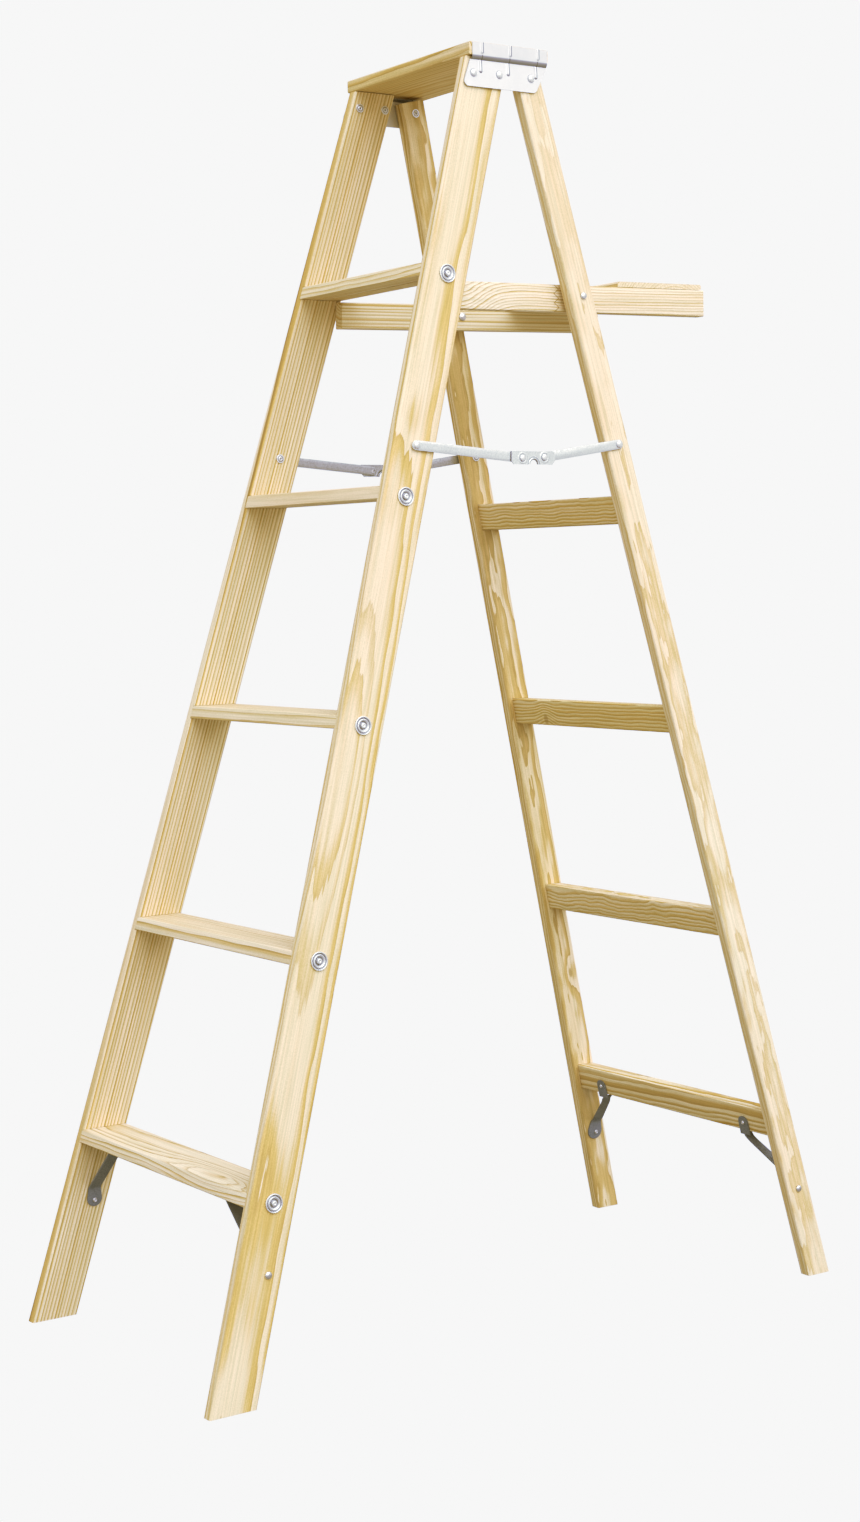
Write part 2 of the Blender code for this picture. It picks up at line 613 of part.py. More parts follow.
def make_brackets(steel, rivets):
    half = SHEET / 2
    wrap = CAP_HALF_LENGTH + GAP + half
    lip = CAP_UNDERSIDE - GAP
    knee = CAP_UNDERSIDE - LIP_DROP
    path = [(plate_inner(PLATE_BOTTOM) + half, PLATE_BOTTOM), (plate_inner(knee) + half, knee),
            (wrap - 0.0018, lip - 0.0046), (wrap - 0.0005, lip - 0.0031), (wrap, lip - 0.0012),
            (wrap, CAP_TOP - 0.0006)]
    plate_top = CAP_UNDERSIDE - LIP_DROP + 0.0005
    above = CAP_TOP + CAP_THICKNESS
    outline = [(WRAP_FRONT, above), (WRAP_FRONT, plate_top), (PLATE_FRONT, plate_top)]
    for (centre, radius), start, end in ((PLATE_FRONT_CORNER, 158, 270), (PLATE_BACK_CORNER, 270, 330)):
        outline += arc((centre, PLATE_BOTTOM + radius), radius, start, end, 4)
    outline += [(WRAP_BACK, PLATE_BACK_TOP), (WRAP_BACK, above)]
    for label, side in SIDES:
        shape = strip(path, SHEET, PLATE_FRONT - STRAP_WIDTH, WRAP_BACK + STRAP_WIDTH, side)
        bracket = add_piece(f"top_bracket_{label}", shape, steel)
        combine(bracket, "INTERSECT", add_cutter(f"bracket_edge_{label}", cut_outline(outline)))
        holes = drill([*BRACKET_RIVETS, FOLD_PIVOT], RIVET_SHANK + HOLE_CLEARANCE, side)
        combine(bracket, "DIFFERENCE", add_cutter(f"bracket_holes_{label}", holes))
        for place, point in zip(("front", "back"), BRACKET_RIVETS):
            head = plate_inner(point[1]) + SHEET + SEAT
            rivet = rivet_shape(head, front_inner(point[1]) - SEAT, point, side)
            add_piece(f"bracket_rivet_{place}_{label}", rivet, rivets, smooth=True)
        head = plate_inner(FOLD_PIVOT[1]) + SHEET + SEAT
        pivot = rivet_shape(head, rear_inner(FOLD_PIVOT[1]) - SEAT, FOLD_PIVOT, side)
        add_piece(f"fold_pivot_{label}", pivot, rivets, smooth=True)


# ---- spreaders -----------------------------------------------------------------------------
def make_flat_bar(name, ends, layer, holes, side, steel, parent):
    shape = side_prism(stadium(*ends, LINK_WIDTH / 2), side * layer, side * (layer + SHEET))
    bar = add_piece(name, shape, steel, parent)
    cutter = drill(holes, RIVET_SHANK + HOLE_CLEARANCE, side)
    combine(bar, "DIFFERENCE", add_cutter(f"{name}_holes", cutter, parent))


def elbow_outline():
    """Side view of the elbow plate: a strip with clipped lower corners."""
    left, right = ELBOW_FRONT[0] - ELBOW_FRONT_MARGIN, ELBOW_REAR[0] + ELBOW_REAR_MARGIN
    low, clipped = ELBOW_BOTTOM, ELBOW_BOTTOM + ELBOW_CLIP
    return [(left, ELBOW_TOP), (left, clipped), (left + ELBOW_CLIP, low),
            (right - ELBOW_CLIP, low), (right, clipped), (right, ELBOW_TOP)]


def make_spreaders(steel, rivets, rear):
    for label, side in SIDES:
        front_pivot = make_pivot(f"spreader_front_axis_{label}", SPREADER_FRONT)
        make_flat_bar(f"spreader_link_front_{label}", (SPREADER_FRONT, ELBOW_FRONT), FRONT_LINK_LAYER,
                      (SPREADER_FRONT, ELBOW_FRONT), side, steel, front_pivot)
        rear_pivot = make_pivot(f"spreader_rear_axis_{label}", SPREADER_REAR)
        make_flat_bar(f"spreader_link_rear_{label}", (SPREADER_REAR, ELBOW_REAR), REAR_LINK_LAYER,
                      (SPREADER_REAR,), side, steel, rear_pivot)
        elbow_pivot = make_pivot(f"elbow_axis_{label}", ELBOW_FRONT)
        shape = side_prism(elbow_outline(), side * ELBOW_LAYER, side * (ELBOW_LAYER + SHEET))
        plate = add_piece(f"spreader_elbow_{label}", shape, steel, elbow_pivot)
        cutter = drill((ELBOW_FRONT, ELBOW_REAR), RIVET_SHANK + HOLE_CLEARANCE, side)
        combine(plate, "DIFFERENCE", add_cutter(f"elbow_holes_{label}", cutter, elbow_pivot))
        front_rivet = rivet_shape(FRONT_LINK_LAYER + SHEET + GAP, front_inner(SPREADER_FRONT[1]) - SEAT,
                                  SPREADER_FRONT, side)
        add_piece(f"spreader_rivet_front_{label}", front_rivet, rivets, smooth=True)
        rear_rivet = rivet_shape(REAR_LINK_LAYER + SHEET + GAP, rear_inner(SPREADER_REAR[1]) - SEAT,
                                 SPREADER_REAR, side)
        add_piece(f"spreader_rivet_rear_{label}", rear_rivet, rivets, rear, smooth=True)
        head = ELBOW_LAYER + SHEET + GAP
        for place, point, inner in (("front", ELBOW_FRONT, FRONT_LINK_LAYER + GAP),
                                    ("rear", ELBOW_REAR, FRONT_LINK_LAYER + SHEET / 2)):
            length = head - inner
            profile = [(0.0, 0.0), (RIVET_SHANK, 0.0), (RIVET_SHANK, length), *dome(*ELBOW_HEAD, length)]
            base = (side * inner, FOOT_Y + point[0], point[1])
            rivet = lathe(profile, base, (side, 0, 0), 12)
            add_piece(f"elbow_rivet_{place}_{label}", rivet, rivets, elbow_pivot, smooth=True)


# ---- pail shelf ----------------------------------------------------------------------------
def make_shelf(wood, steel, rear):
    axis = make_pivot("shelf_axis", SHELF_BOLT)
    bolt_y, bolt_z = SHELF_BOLT
    for label, side in SIDES:
        shape = bmesh.new()
        ends = []
        for y in (SHELF_FRONT, SHELF_BACK):
            outer, top = shelf_outer(y), shelf_top(y)
            ends.append([(side * x, FOOT_Y + y, z)
                         for x, z in ((outer, top), (outer, top - SHELF_ARM_HEIGHT),
                                      (outer - SHELF_ARM_THICKNESS, top - SHELF_ARM_HEIGHT),
                                      (outer - SHELF_ARM_THICKNESS, top))])
        round_edges(shape, prism(shape, ends[0], ends[1]), radius=0.0020, segments=1)
        arm = add_piece(f"shelf_arm_{label}", shape, wood, axis)
        holes = drill([SHELF_BOLT], RIVET_SHANK + HOLE_CLEARANCE, side)
        combine(arm, "DIFFERENCE", add_cutter(f"shelf_arm_hole_{label}", holes, axis))
        outer = shelf_outer(bolt_y)
        bolt = rivet_shape(rear_outer(bolt_z) + SEAT, outer - SHELF_ARM_THICKNESS - SEAT,
                           SHELF_BOLT, side, tail=BOLT_TAIL)
        add_piece(f"shelf_bolt_{label}", bolt, steel, rear, smooth=True)
        spacer = ring_shape(outer + SHELF_ARM_GAP, rear_inner(bolt_z) - SEAT, side)
        add_piece(f"shelf_spacer_{label}", spacer, steel, rear, smooth=True)
    shape = bmesh.new()
    rows = []
    for lift in (GAP, GAP + SHELF_BOARD_THICKNESS):
        row = []
        for y, side in ((SHELF_BOARD_FRONT, -1), (SHELF_BOARD_FRONT, 1), (SHELF_BOARD_BACK, 1),
                        (SHELF_BOARD_BACK, -1)):
            row.append((side * (shelf_outer(y) - SHELF_ARM_GAP), FOOT_Y + y, shelf_top(y) + lift))
        rows.append(row)
    prism(shape, rows[0], rows[1])
    long_edges = [e for e in shape.edges if abs(e.verts[0].co.x - e.verts[1].co.x) > 0.1
                  and e.verts[0].co.z > SHELF_TOP_FRONT + SHELF_BOARD_THICKNESS]
    round_edges(shape, long_edges, radius=0.0030)
    add_piece("shelf_board", shape, wood, axis)


def ring_shape(start, end, side):
    """A tube on the shelf bolt, from start to end."""
    shape = bmesh.new()
    segments = 14
    loops = []
    bore = RIVET_SHANK + HOLE_CLEARANCE
    for radius, x in ((bore, start), (SPACER_RADIUS, start), (SPACER_RADIUS, end), (bore, end)):
        loop = []
        for i in range(segments):
            angle = 2 * math.pi * i / segments
            loop.append(shape.verts.new((side * x, FOOT_Y + SHELF_BOLT[0] + radius * math.cos(angle),
                                         SHELF_BOLT[1] + radius * math.sin(angle))))
        loops.append(loop)
    for k, low in enumerate(loops):
        high = loops[(k + 1) % len(loops)]
        for i in range(segments):
            j = (i + 1) % segments
            shape.faces.new((low[i], low[j], high[j], high[i]))
    return shape


def build():
    clear_scene()
    pine = make_material("pine", (0.80, 0.62, 0.36), 0.62, 0.0)
    galvanised = make_material("galvanised_steel", (0.72, 0.73, 0.75), 0.38, 1.0)
    strap_steel = make_material("strap_steel", (0.16, 0.17, 0.18), 0.50, 1.0)
    rivet_steel = make_material("rivet_steel", (0.66, 0.67, 0.70), 0.28, 1.0)

    rear = make_pivot("rear_section_axis", FOLD_PIVOT)
    make_front_rails(pine)
    make_treads(pine)
    make_tread_rods(rivet_steel)
    make_top_cap(pine)
    make_rear_rails(pine, rear)
    make_rear_bars(pine, rear)
    make_tread_braces(strap_steel, rivet_steel)
    make_rear_braces(strap_steel, rivet_steel, rear)
    make_brackets(galvanised, rivet_steel)
    make_spreaders(galvanised, rivet_steel, rear)
    make_shelf(pine, rivet_steel, rear)


build()
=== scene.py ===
"""Looks of a folding wooden stepladder with a pail shelf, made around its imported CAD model.

Metres, +Z up, +X to the climber's right, -Y towards the climber. Distances measured back from the
front feet become row-frame positions when FOOT_Y is added.
"""

import math
from functools import partialmethod

import bmesh
import bpy
from mathutils import Matrix, Vector


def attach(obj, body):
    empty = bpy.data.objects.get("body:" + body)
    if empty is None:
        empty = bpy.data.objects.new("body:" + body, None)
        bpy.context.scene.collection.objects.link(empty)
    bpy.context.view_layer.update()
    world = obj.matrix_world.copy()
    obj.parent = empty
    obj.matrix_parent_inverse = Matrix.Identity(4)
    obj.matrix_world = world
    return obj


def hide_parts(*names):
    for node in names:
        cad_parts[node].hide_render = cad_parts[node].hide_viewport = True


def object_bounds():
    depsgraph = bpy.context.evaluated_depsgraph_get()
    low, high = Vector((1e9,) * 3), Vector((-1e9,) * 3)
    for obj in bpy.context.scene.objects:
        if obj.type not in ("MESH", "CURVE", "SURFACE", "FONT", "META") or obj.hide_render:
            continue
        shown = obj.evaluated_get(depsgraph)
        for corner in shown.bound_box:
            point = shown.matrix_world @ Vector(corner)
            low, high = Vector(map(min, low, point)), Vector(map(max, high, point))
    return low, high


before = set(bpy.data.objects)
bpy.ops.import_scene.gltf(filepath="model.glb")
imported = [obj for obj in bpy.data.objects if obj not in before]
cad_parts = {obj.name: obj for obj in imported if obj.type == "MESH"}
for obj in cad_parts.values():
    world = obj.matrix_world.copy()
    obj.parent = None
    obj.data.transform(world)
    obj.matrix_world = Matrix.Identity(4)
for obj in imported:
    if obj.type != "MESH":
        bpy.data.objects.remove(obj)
CAD_BOX = [list(corner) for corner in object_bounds()]

# ---- the ladder's driving sizes ----
FOOT_Y = CAD_BOX[0][1]
GAP = 0.0003  # clearance between neighbours
PITCH = 0.2926
FIRST_TOP = 0.2644
TREAD_THICKNESS = 0.0174
TREAD_DEPTH = 0.0662
HOUSING = 0.0035
# lean and taper are per metre of height; half is half the width over the rails at the floor
FRONT = {"lean": 0.2963, "taper": 0.0669, "half": 0.2590, "depth": 0.0679, "thickness": 0.0165}
REAR = {"lean": -0.2410, "taper": 0.0640, "half": 0.2551, "depth": 0.0408, "thickness": 0.0185}
FRONT["foot"] = FOOT_Y
REAR["foot"] = CAD_BOX[1][1] - REAR["depth"]
ARRIS = 0.0032
CAP_TOP = CAD_BOX[1][2]
CAP_UNDERSIDE = CAP_TOP - 0.0170
CAP_HALF = 0.1500
CAP_Y = (0.5080, 0.6375)
ROD_DROP = 0.0146
ROD_SETBACK = 0.0344
SHANK = 0.0024
PROUD = 0.0006  # how far a pin stands out of a wooden face
SHEET = 0.0014
STRAP_SHEET = 0.0020
STRAP_WIDTH = 0.0180
# a brace's lower end, bend and neck, measured from its rivet
STRAP_END = 0.0150
STRAP_KNEE = 0.0180
STRAP_NECK = 0.0212
PLATE_CLEARANCE = 0.0011
PLATE_BOTTOM = 1.6698
# distance from the centre plane to the inner face of each layer of a spreader
FRONT_LAYER = 0.1820
REAR_LAYER = 0.1802
ELBOW_LAYER = 0.1838

# side-view points: (distance behind the front feet, height)
FOLD_PIVOT = (0.6092, 1.6884)
BRACKET_RIVETS = ((0.5147, 1.6876), (0.5570, 1.6886))
LINK_A = (0.3880, 1.1940)
LINK_B = (0.5575, 1.1789)
LINK_C = (0.5940, 1.1800)
LINK_D = (0.7258, 1.1995)
ELBOW_ARCH = ((LINK_B[0] + LINK_C[0]) / 2, 1.1706)
SHELF_BOLT = (0.6800, 1.4010)
TREAD_BRACE_RIVET = (0.0944, 0.1622)
REAR_BRACE_RIVET = (0.9833, 0.1294)
BAR_TOPS = (0.2432, 0.5405, 0.8345, 1.1294)
BAR_HEIGHT = 0.0382
BAR_SETBACK = 0.0090
SIDES = (("left", -1), ("right", 1))


def edge(rail, z):
    """Where a rail's front edge lies at a height, in the row frame."""
    return rail["foot"] + rail["lean"] * z


def outer(rail, z):
    return rail["half"] - rail["taper"] * z


def inner(rail, z):
    return outer(rail, z) - rail["thickness"]


def tread_top(index):
    return FIRST_TOP + index * PITCH


def rod_point(index):
    z = tread_top(index) - ROD_DROP
    return FRONT["lean"] * z + ROD_SETBACK, z


# ---- mesh helpers ----
def prism(shape, bottom, top):
    low = [shape.verts.new(p) for p in bottom]
    high = [shape.verts.new(p) for p in top]
    shape.faces.new(low)
    shape.faces.new(high)
    count = len(low)
    for i in range(count):
        j = (i + 1) % count
        shape.faces.new((low[i], low[j], high[j], high[i]))
    return [shape.edges.get((low[i], high[i])) for i in range(count)]


def bevel(shape, edges, radius, segments=5):
    bmesh.ops.bevel(shape, geom=edges, offset=radius, segments=segments, profile=0.5,
                    affect="EDGES", clamp_overlap=True)


def rectangle(x_low, x_high, y_low, y_high, z):
    return [(x_low, y_low, z), (x_high, y_low, z), (x_high, y_high, z), (x_low, y_high, z)]


def span(mesh_edge):
    """How far an edge reaches along X."""
    return abs(mesh_edge.verts[0].co.x - mesh_edge.verts[1].co.x)


def side_prism(outline, x_low=-0.3, x_high=0.3):
    """A side-view outline of (y, z) points, extruded along X."""
    shape = bmesh.new()
    prism(shape, *([(x, FOOT_Y + y, z) for y, z in outline] for x in (x_low, x_high)))
    return shape


def arc(centre, radius, start, end, steps):
    points = []
    for i in range(steps + 1):
        angle = math.radians(start + (end - start) * i / steps)
        points.append((centre[0] + radius * math.cos(angle), centre[1] + radius * math.sin(angle)))
    return points


def stadium(first, second, radius, steps=16):
    heading = math.degrees(math.atan2(second[1] - first[1], second[0] - first[0]))
    return (arc(second, radius, heading - 90, heading + 90, steps)
            + arc(first, radius, heading + 90, heading + 270, steps))


def lathe(profile, base, direction, segments=32, closed=False):
    """(radius, distance) points turned about an axis; an open profile starts and ends on the axis."""
    shape = bmesh.new()
    rings = []
    for radius, distance in profile:
        if radius == 0.0:
            rings.append([shape.verts.new((0, 0, distance))])
            continue
        rings.append([shape.verts.new((radius * math.cos(math.tau * i / segments),
                                       radius * math.sin(math.tau * i / segments), distance))
                      for i in range(segments)])
    for low, high in zip(rings, rings[1:] + (rings[:1] if closed else [])):
        for i in range(segments):
            j = (i + 1) % segments
            loop = (low[i % len(low)], low[j % len(low)], high[j % len(high)], high[i % len(high)])
            shape.faces.new(list(dict.fromkeys(loop)))
    turn = Vector((0, 0, 1)).rotation_difference(Vector(direction)).to_matrix().to_4x4()
    bmesh.ops.transform(shape, matrix=Matrix.Translation(Vector(base)) @ turn, verts=shape.verts)
    return shape


def merge(target, source):
    copies = {vert: target.verts.new(vert.co) for vert in source.verts}
    for face in source.faces:
        target.faces.new([copies[vert] for vert in face.verts])
    source.free()


def drill(points, side):
    """Cutters for the holes that let a pin's shank through at side-view points."""
    shape = bmesh.new()
    radius = SHANK + GAP
    for y, z in points:
        merge(shape, lathe(((0.0, 0.0), (radius, 0.0), (radius, 0.2), (0.0, 0.2)),
                           (side * 0.1, FOOT_Y + y, z), (side, 0, 0), 24))
    return shape


def add_object(name, data):
    item = bpy.data.objects.new(name, data)
    bpy.context.scene.collection.objects.link(item)
    return item


def add_mesh(name, shape):
    bmesh.ops.recalc_face_normals(shape, faces=shape.faces)
    mesh = bpy.data.meshes.new(name)
    shape.to_mesh(mesh)
    shape.free()
    return add_object(name, mesh)


def carve(shape, *steps):
    """Apply (operation, bmesh) Boolean steps to a bmesh and return the result as a new bmesh."""
    item = add_mesh("temporary", shape)
    used = [item]
    for operation, other in steps:
        used.append(add_mesh("temporary", other))
        modifier = item.modifiers.new("carve", "BOOLEAN")
        modifier.operation = operation
        modifier.object = used[-1]
        modifier.solver = "EXACT"
    bpy.context.view_layer.update()
    result = bmesh.new()
    result.from_object(item, bpy.context.evaluated_depsgraph_get())
    for thing in used:
        mesh = thing.data
        bpy.data.objects.remove(thing)
        bpy.data.meshes.remove(mesh)
    return result


def place(node, kind, shape, material, body, origin=(0.0, 0.0, 0.0), sharp=32):
    """Make the piece that replaces a CAD node, with the object's own origin at the point given."""
    bmesh.ops.translate(shape, vec=-Vector(origin), verts=shape.verts)
    piece = add_mesh(f"{node}_{kind}", shape)
    piece.data.shade_smooth()
    piece.data.set_sharp_from_angle(angle=math.radians(sharp))
    piece.location = origin
    piece.data.materials.append(material)
    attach(piece, body)
    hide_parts(node)


def board_frame(origin, along, normal):
    x = Vector(along).normalized()
    z = (Vector(normal) - x * Vector(normal).dot(x)).normalized()
    y = z.cross(x)
    basis = Matrix((x, y, z)).transposed().to_4x4()
    basis.translation = Vector(origin)
    return basis


# ---- materials ----
class Nodes:
    """Short names for building a node tree."""

    def __init__(self, tree):
        self.tree = tree

    def link(self, source, socket):
        if isinstance(source, bpy.types.NodeSocket):
            self.tree.links.new(source, socket)
        else:
            socket.default_value = source

    def node(self, kind, sockets=(), **values):
        """Add a node: values set the node itself, and sockets its inputs, in order or by name."""
        node = self.tree.nodes.new(kind)
        for key, value in values.items():
            setattr(node, key, value)
        for key, source in sockets.items() if isinstance(sockets, dict) else enumerate(sockets):
            self.link(source, node.inputs[key])
        return node

    def math(self, operation, a, b=0.0, c=0.0, clamp=False):
        return self.node("ShaderNodeMath", (a, b, c), operation=operation, use_clamp=clamp).outputs[0]

    add = partialmethod(math, "ADD")
    sub = partialmethod(math, "SUBTRACT")
    mul = partialmethod(math, "MULTIPLY")
    mad = partialmethod(math, "MULTIPLY_ADD")
    most = partialmethod(math, "MAXIMUM")

    def smooth(self, value, low, high, to_low=0.0, to_high=1.0):
        return self.node("ShaderNodeMapRange", (value, low, high, to_low, to_high),
                         interpolation_type="SMOOTHSTEP").outputs[0]

    def length(self, a, b):
        return self.math("SQRT", self.add(self.mul(a, a), self.mul(b, b)))

    def coordinates(self):
        return self.node("ShaderNodeTexCoord").outputs["Object"]

    def board(self, basis):
        """Object coordinates turned into a board's own frame, x along the grain."""
        back = basis.inverted()
        return self.node("ShaderNodeMapping", {"Vector": self.coordinates(), "Location": back.translation,
                                               "Rotation": back.to_euler()}).outputs["Vector"]

    def split(self, vector):
        return self.node("ShaderNodeSeparateXYZ", (vector,)).outputs

    def join(self, x, y, z):
        return self.node("ShaderNodeCombineXYZ", (x, y, z)).outputs[0]

    def noise(self, vector, scale, offset=0.0, detail=2.0, rough=0.5):
        """A value and a colour of fractal noise, with a scale for each axis."""
        moved = self.join(*(self.mad(part, by, offset * shift)
                            for part, by, shift in zip(self.split(vector), scale, (1.0, 1.7, 0.6))))
        node = self.node("ShaderNodeTexNoise", {"Vector": moved, "Scale": 1.0, "Detail": detail,
                                                "Roughness": rough})
        return node.outputs["Fac"], node.outputs["Color"]

    def mix(self, factor, a, b, blend="MIX"):
        a, b = ((*colour, 1.0) if isinstance(colour, tuple) else colour for colour in (a, b))
        return self.node("ShaderNodeMix", {"Factor": factor, "A": a, "B": b}, data_type="RGBA",
                         blend_type=blend).outputs["Result"]

    def surface(self, sockets, height, distance, strength):
        """Set the Principled shader's inputs by name, with a bump of the height given."""
        bump = self.node("ShaderNodeBump", {"Distance": distance, "Strength": strength, "Height": height})
        shader = self.tree.nodes["Principled BSDF"]
        for key, source in {**sockets, "Normal": bump.outputs["Normal"]}.items():
            self.link(source, shader.inputs[key])


def new_material(name):
    material = bpy.data.materials.new(name)
    material.use_nodes = True
    return material, Nodes(material.node_tree)


PALE = (0.85, 0.735, 0.505)
GOLD = (0.65, 0.445, 0.160)
PINK = (0.86, 0.715, 0.495)
UMBER = (0.36, 0.22, 0.075)
# grey that metals are darkened towards as painted shade in folds, grooves, hollows and along plate edges
PAINTED_SHADE_GREY = (0.10, 0.10, 0.10)


def pine(name, basis, pith, tilt=(0.0, 0.0), ring=0.004, wander=0.006, wave=1.6, seed=0.0, strength=0.8,
         sharp=0.55, line=0.35, ripple=0.35, fine=None, jag=0.0016, pale=PALE, gold=GOLD, swells=(),
         knots=(), splice=None):
    """Planed pine. The growth rings are cones about a pith line in the board's own frame (basis).

    pith: where the line crosses the board's middle section (y, z); tilt: how it leans along x.
    ring: ring spacing; wander and ripple: how far rings stray; wave: strays per metre; fine: ripples
    per metre along and across the grain; jag: feathering of the ring edges; sharp: share of each ring
    that is pale; line: dark edge of each ring. swells: (x, y, reach along, reach across, lift) humps
    in the rings; knots: the same with a dark heart. splice: a finger joint (x, slant, finger width,
    pith shift).
    """
    material, n = new_material(name)
    where = n.board(basis)
    x, y, z = n.split(where)
    _, low_colour = n.noise(where, (wave, 7.0, 7.0), seed, 1.5)
    sway_y, sway_z, _ = n.split(low_colour)
    along, across = fine or (wave * 5.5, 26.0)
    _, mid_colour = n.noise(where, (along, across, across), seed + 9.0)
    mid_y, mid_z, _ = n.split(mid_colour)
    pith_y, pith_z = pith
    if splice:
        joint_x, slant, finger, shift = splice
        zigzag = n.mad(n.math("PINGPONG", y, finger), slant, x)
        beyond = n.math("GREATER_THAN", zigzag, joint_x)
        pith_y, pith_z = n.mad(beyond, shift[0], pith_y), n.mad(beyond, shift[1], pith_z)

    def off_axis(across, centre, lean, sway, mid):
        distance = n.mad(x, -lean, n.sub(across, centre))
        distance = n.mad(n.sub(sway, 0.5), 2.0 * wander, distance)
        return n.mad(n.sub(mid, 0.5), 2.0 * ripple * wander, distance)

    radius = n.length(off_axis(y, pith_y, tilt[0], sway_y, mid_y),
                      off_axis(z, pith_z, tilt[1], sway_z, mid_z))
    feather, _ = n.noise(where, (10.0, 230.0, 230.0), seed + 4.0, 1.0)
    radius = n.mad(n.sub(feather, 0.5), jag, radius)
    heart = 0.0
    for index, (hump_x, hump_y, along, over, lift) in enumerate((*knots, *swells)):
        dx = n.math("DIVIDE", n.sub(x, hump_x), along)
        dy = n.math("DIVIDE", n.sub(y, hump_y), over)
        square = n.add(n.mul(dx, dx), n.mul(dy, dy))
        radius = n.mad(n.math("POWER", 2.718, n.mul(square, -1.0)), lift, radius)
        if index < len(knots):
            heart = n.most(heart, n.smooth(square, 0.10, 0.02))
    rings = n.math("DIVIDE", radius, ring)
    uneven, _ = n.noise(n.join(rings, seed, 0.0), (0.42, 0.42, 0.42), seed, 1.0)
    rings = n.mad(uneven, 1.5, rings)
    share = n.math("FRACT", rings)
    lot = n.node("ShaderNodeTexWhiteNoise", {"W": n.add(n.math("FLOOR", rings), seed)},
                 noise_dimensions="1D")
    drop = n.smooth(share, 1.0, 0.95)
    depth = n.mad(lot.outputs["Value"], 0.55, 0.45)
    late = n.mul(n.smooth(share, sharp - 0.25, min(sharp + 0.25, 0.92)), drop)
    late = n.mul(n.mul(late, depth), strength, clamp=True)
    rim = n.mul(n.smooth(share, 0.80, 0.94), drop)
    rim = n.mul(n.mul(rim, depth), line, clamp=True)

    fibre, _ = n.noise(where, (6.0, 420.0, 420.0), seed + 3.0, 1.5, 0.6)
    streak, _ = n.noise(where, (3.0, 95.0, 95.0), seed + 5.0)
    cloud, _ = n.noise(where, (2.2, 12.0, 12.0), seed + 7.0)
    speck, _ = n.noise(where, (600.0, 900.0, 900.0), seed + 8.0, 1.0)
    colour = n.mix(n.smooth(cloud, 0.35, 0.70), pale, PINK)
    colour = n.mix(n.mul(n.smooth(streak, 0.40, 0.80), 0.24), colour, gold)
    colour = n.mix(rim, n.mix(late, colour, gold), UMBER)
    shade = n.add(n.smooth(fibre, 0.25, 0.78, 0.88, 1.08), n.smooth(speck, 0.2, 0.8, -0.07, 0.07))
    tint = n.join(shade, shade, n.math("POWER", shade, 1.6))
    colour = n.mix(1.0, colour, tint, "MULTIPLY")
    if knots:
        colour = n.mix(n.mul(heart, 0.55), colour, UMBER)
    if splice:
        seam = n.math("ABSOLUTE", n.sub(zigzag, joint_x))
        colour = n.mix(n.smooth(seam, 0.0012, 0.0004, 0.0, 0.8), colour, UMBER)
    roughness = n.smooth(fibre, 0.2, 0.8, 0.62, 0.50)
    n.surface({"Base Color": colour, "Roughness": roughness, "Specular IOR Level": 0.35},
              n.add(n.mul(late, 0.5), n.mul(fibre, 0.8)), 0.00012, 0.4)
    return material


def metal(name, colour, dull, rough, mottle=0.12, scale=260.0, seed=0.0, metallic=1.0, tarnish=0.25,
          dent=0.00004, painted_shade=None):
    """Zinc-plated or bare steel: cloudy crystals, fine scuffs and slight dents.

    The last argument, a function of (n, x, y, z), returns where shade is painted, from 0 to 1, in the piece's
    own coordinates.
    """
    material, n = new_material(name)
    where = n.coordinates()
    cell = n.node("ShaderNodeTexVoronoi", {"Vector": where, "Scale": scale}, feature="F1")
    facet, _, _ = n.split(cell.outputs["Color"])
    cloud, _ = n.noise(where, (55.0, 55.0, 55.0), seed, 3.0)
    scuff, _ = n.noise(where, (220.0, 900.0, 2400.0), seed + 2.0)
    blend = n.mad(n.sub(facet, 0.5), mottle, n.smooth(cloud, 0.3, 0.75, 0.0, tarnish), clamp=True)
    shown = n.mix(blend, colour, dull)
    # painted shade: darken the colour towards a grey where the last argument's mask says
    if painted_shade:
        shown = n.mix(painted_shade(n, *n.split(where)), shown, PAINTED_SHADE_GREY)
    roughness = n.mad(facet, mottle, n.smooth(scuff, 0.3, 0.7, rough - 0.04, rough + 0.07))
    n.surface({"Base Color": shown, "Roughness": roughness, "Metallic": metallic},
              n.mad(facet, 0.25, n.mad(scuff, 0.3, cloud)), dent, 0.5)
    return material


def around(n, y, z, point=None):
    """Distance from the X axis, or from the line along X through a side-view point."""
    if point:
        y, z = n.sub(y, FOOT_Y + point[0]), n.sub(z, point[1])
    return n.length(y, z)


def band(n, value, centre, reach):
    return n.smooth(n.math("ABSOLUTE", n.sub(value, centre)), reach, reach * 0.35)


def washer_painted_shade(n, x, y, z):
    """Painted shade in a cupped washer's groove and round the peened end of its rod."""
    radius = around(n, y, z)
    return n.most(n.mul(band(n, radius, 0.0097, 0.0012), 0.60), n.mul(band(n, radius, 0.0050, 0.0017), 0.72))


def rivet_painted_shade(n, x, y, z):
    """Painted shade in the hollow of a rivet's inner end, which lies at its origin, and just outside its
    rolled ring.
    """
    radius = around(n, y, z)
    near = n.smooth(n.math("ABSOLUTE", x), 0.0034, 0.0026)
    shading = n.most(n.smooth(radius, 0.0016, 0.0009), band(n, radius, 0.0040, 0.0008))
    return n.mul(n.mul(shading, near), 0.75)


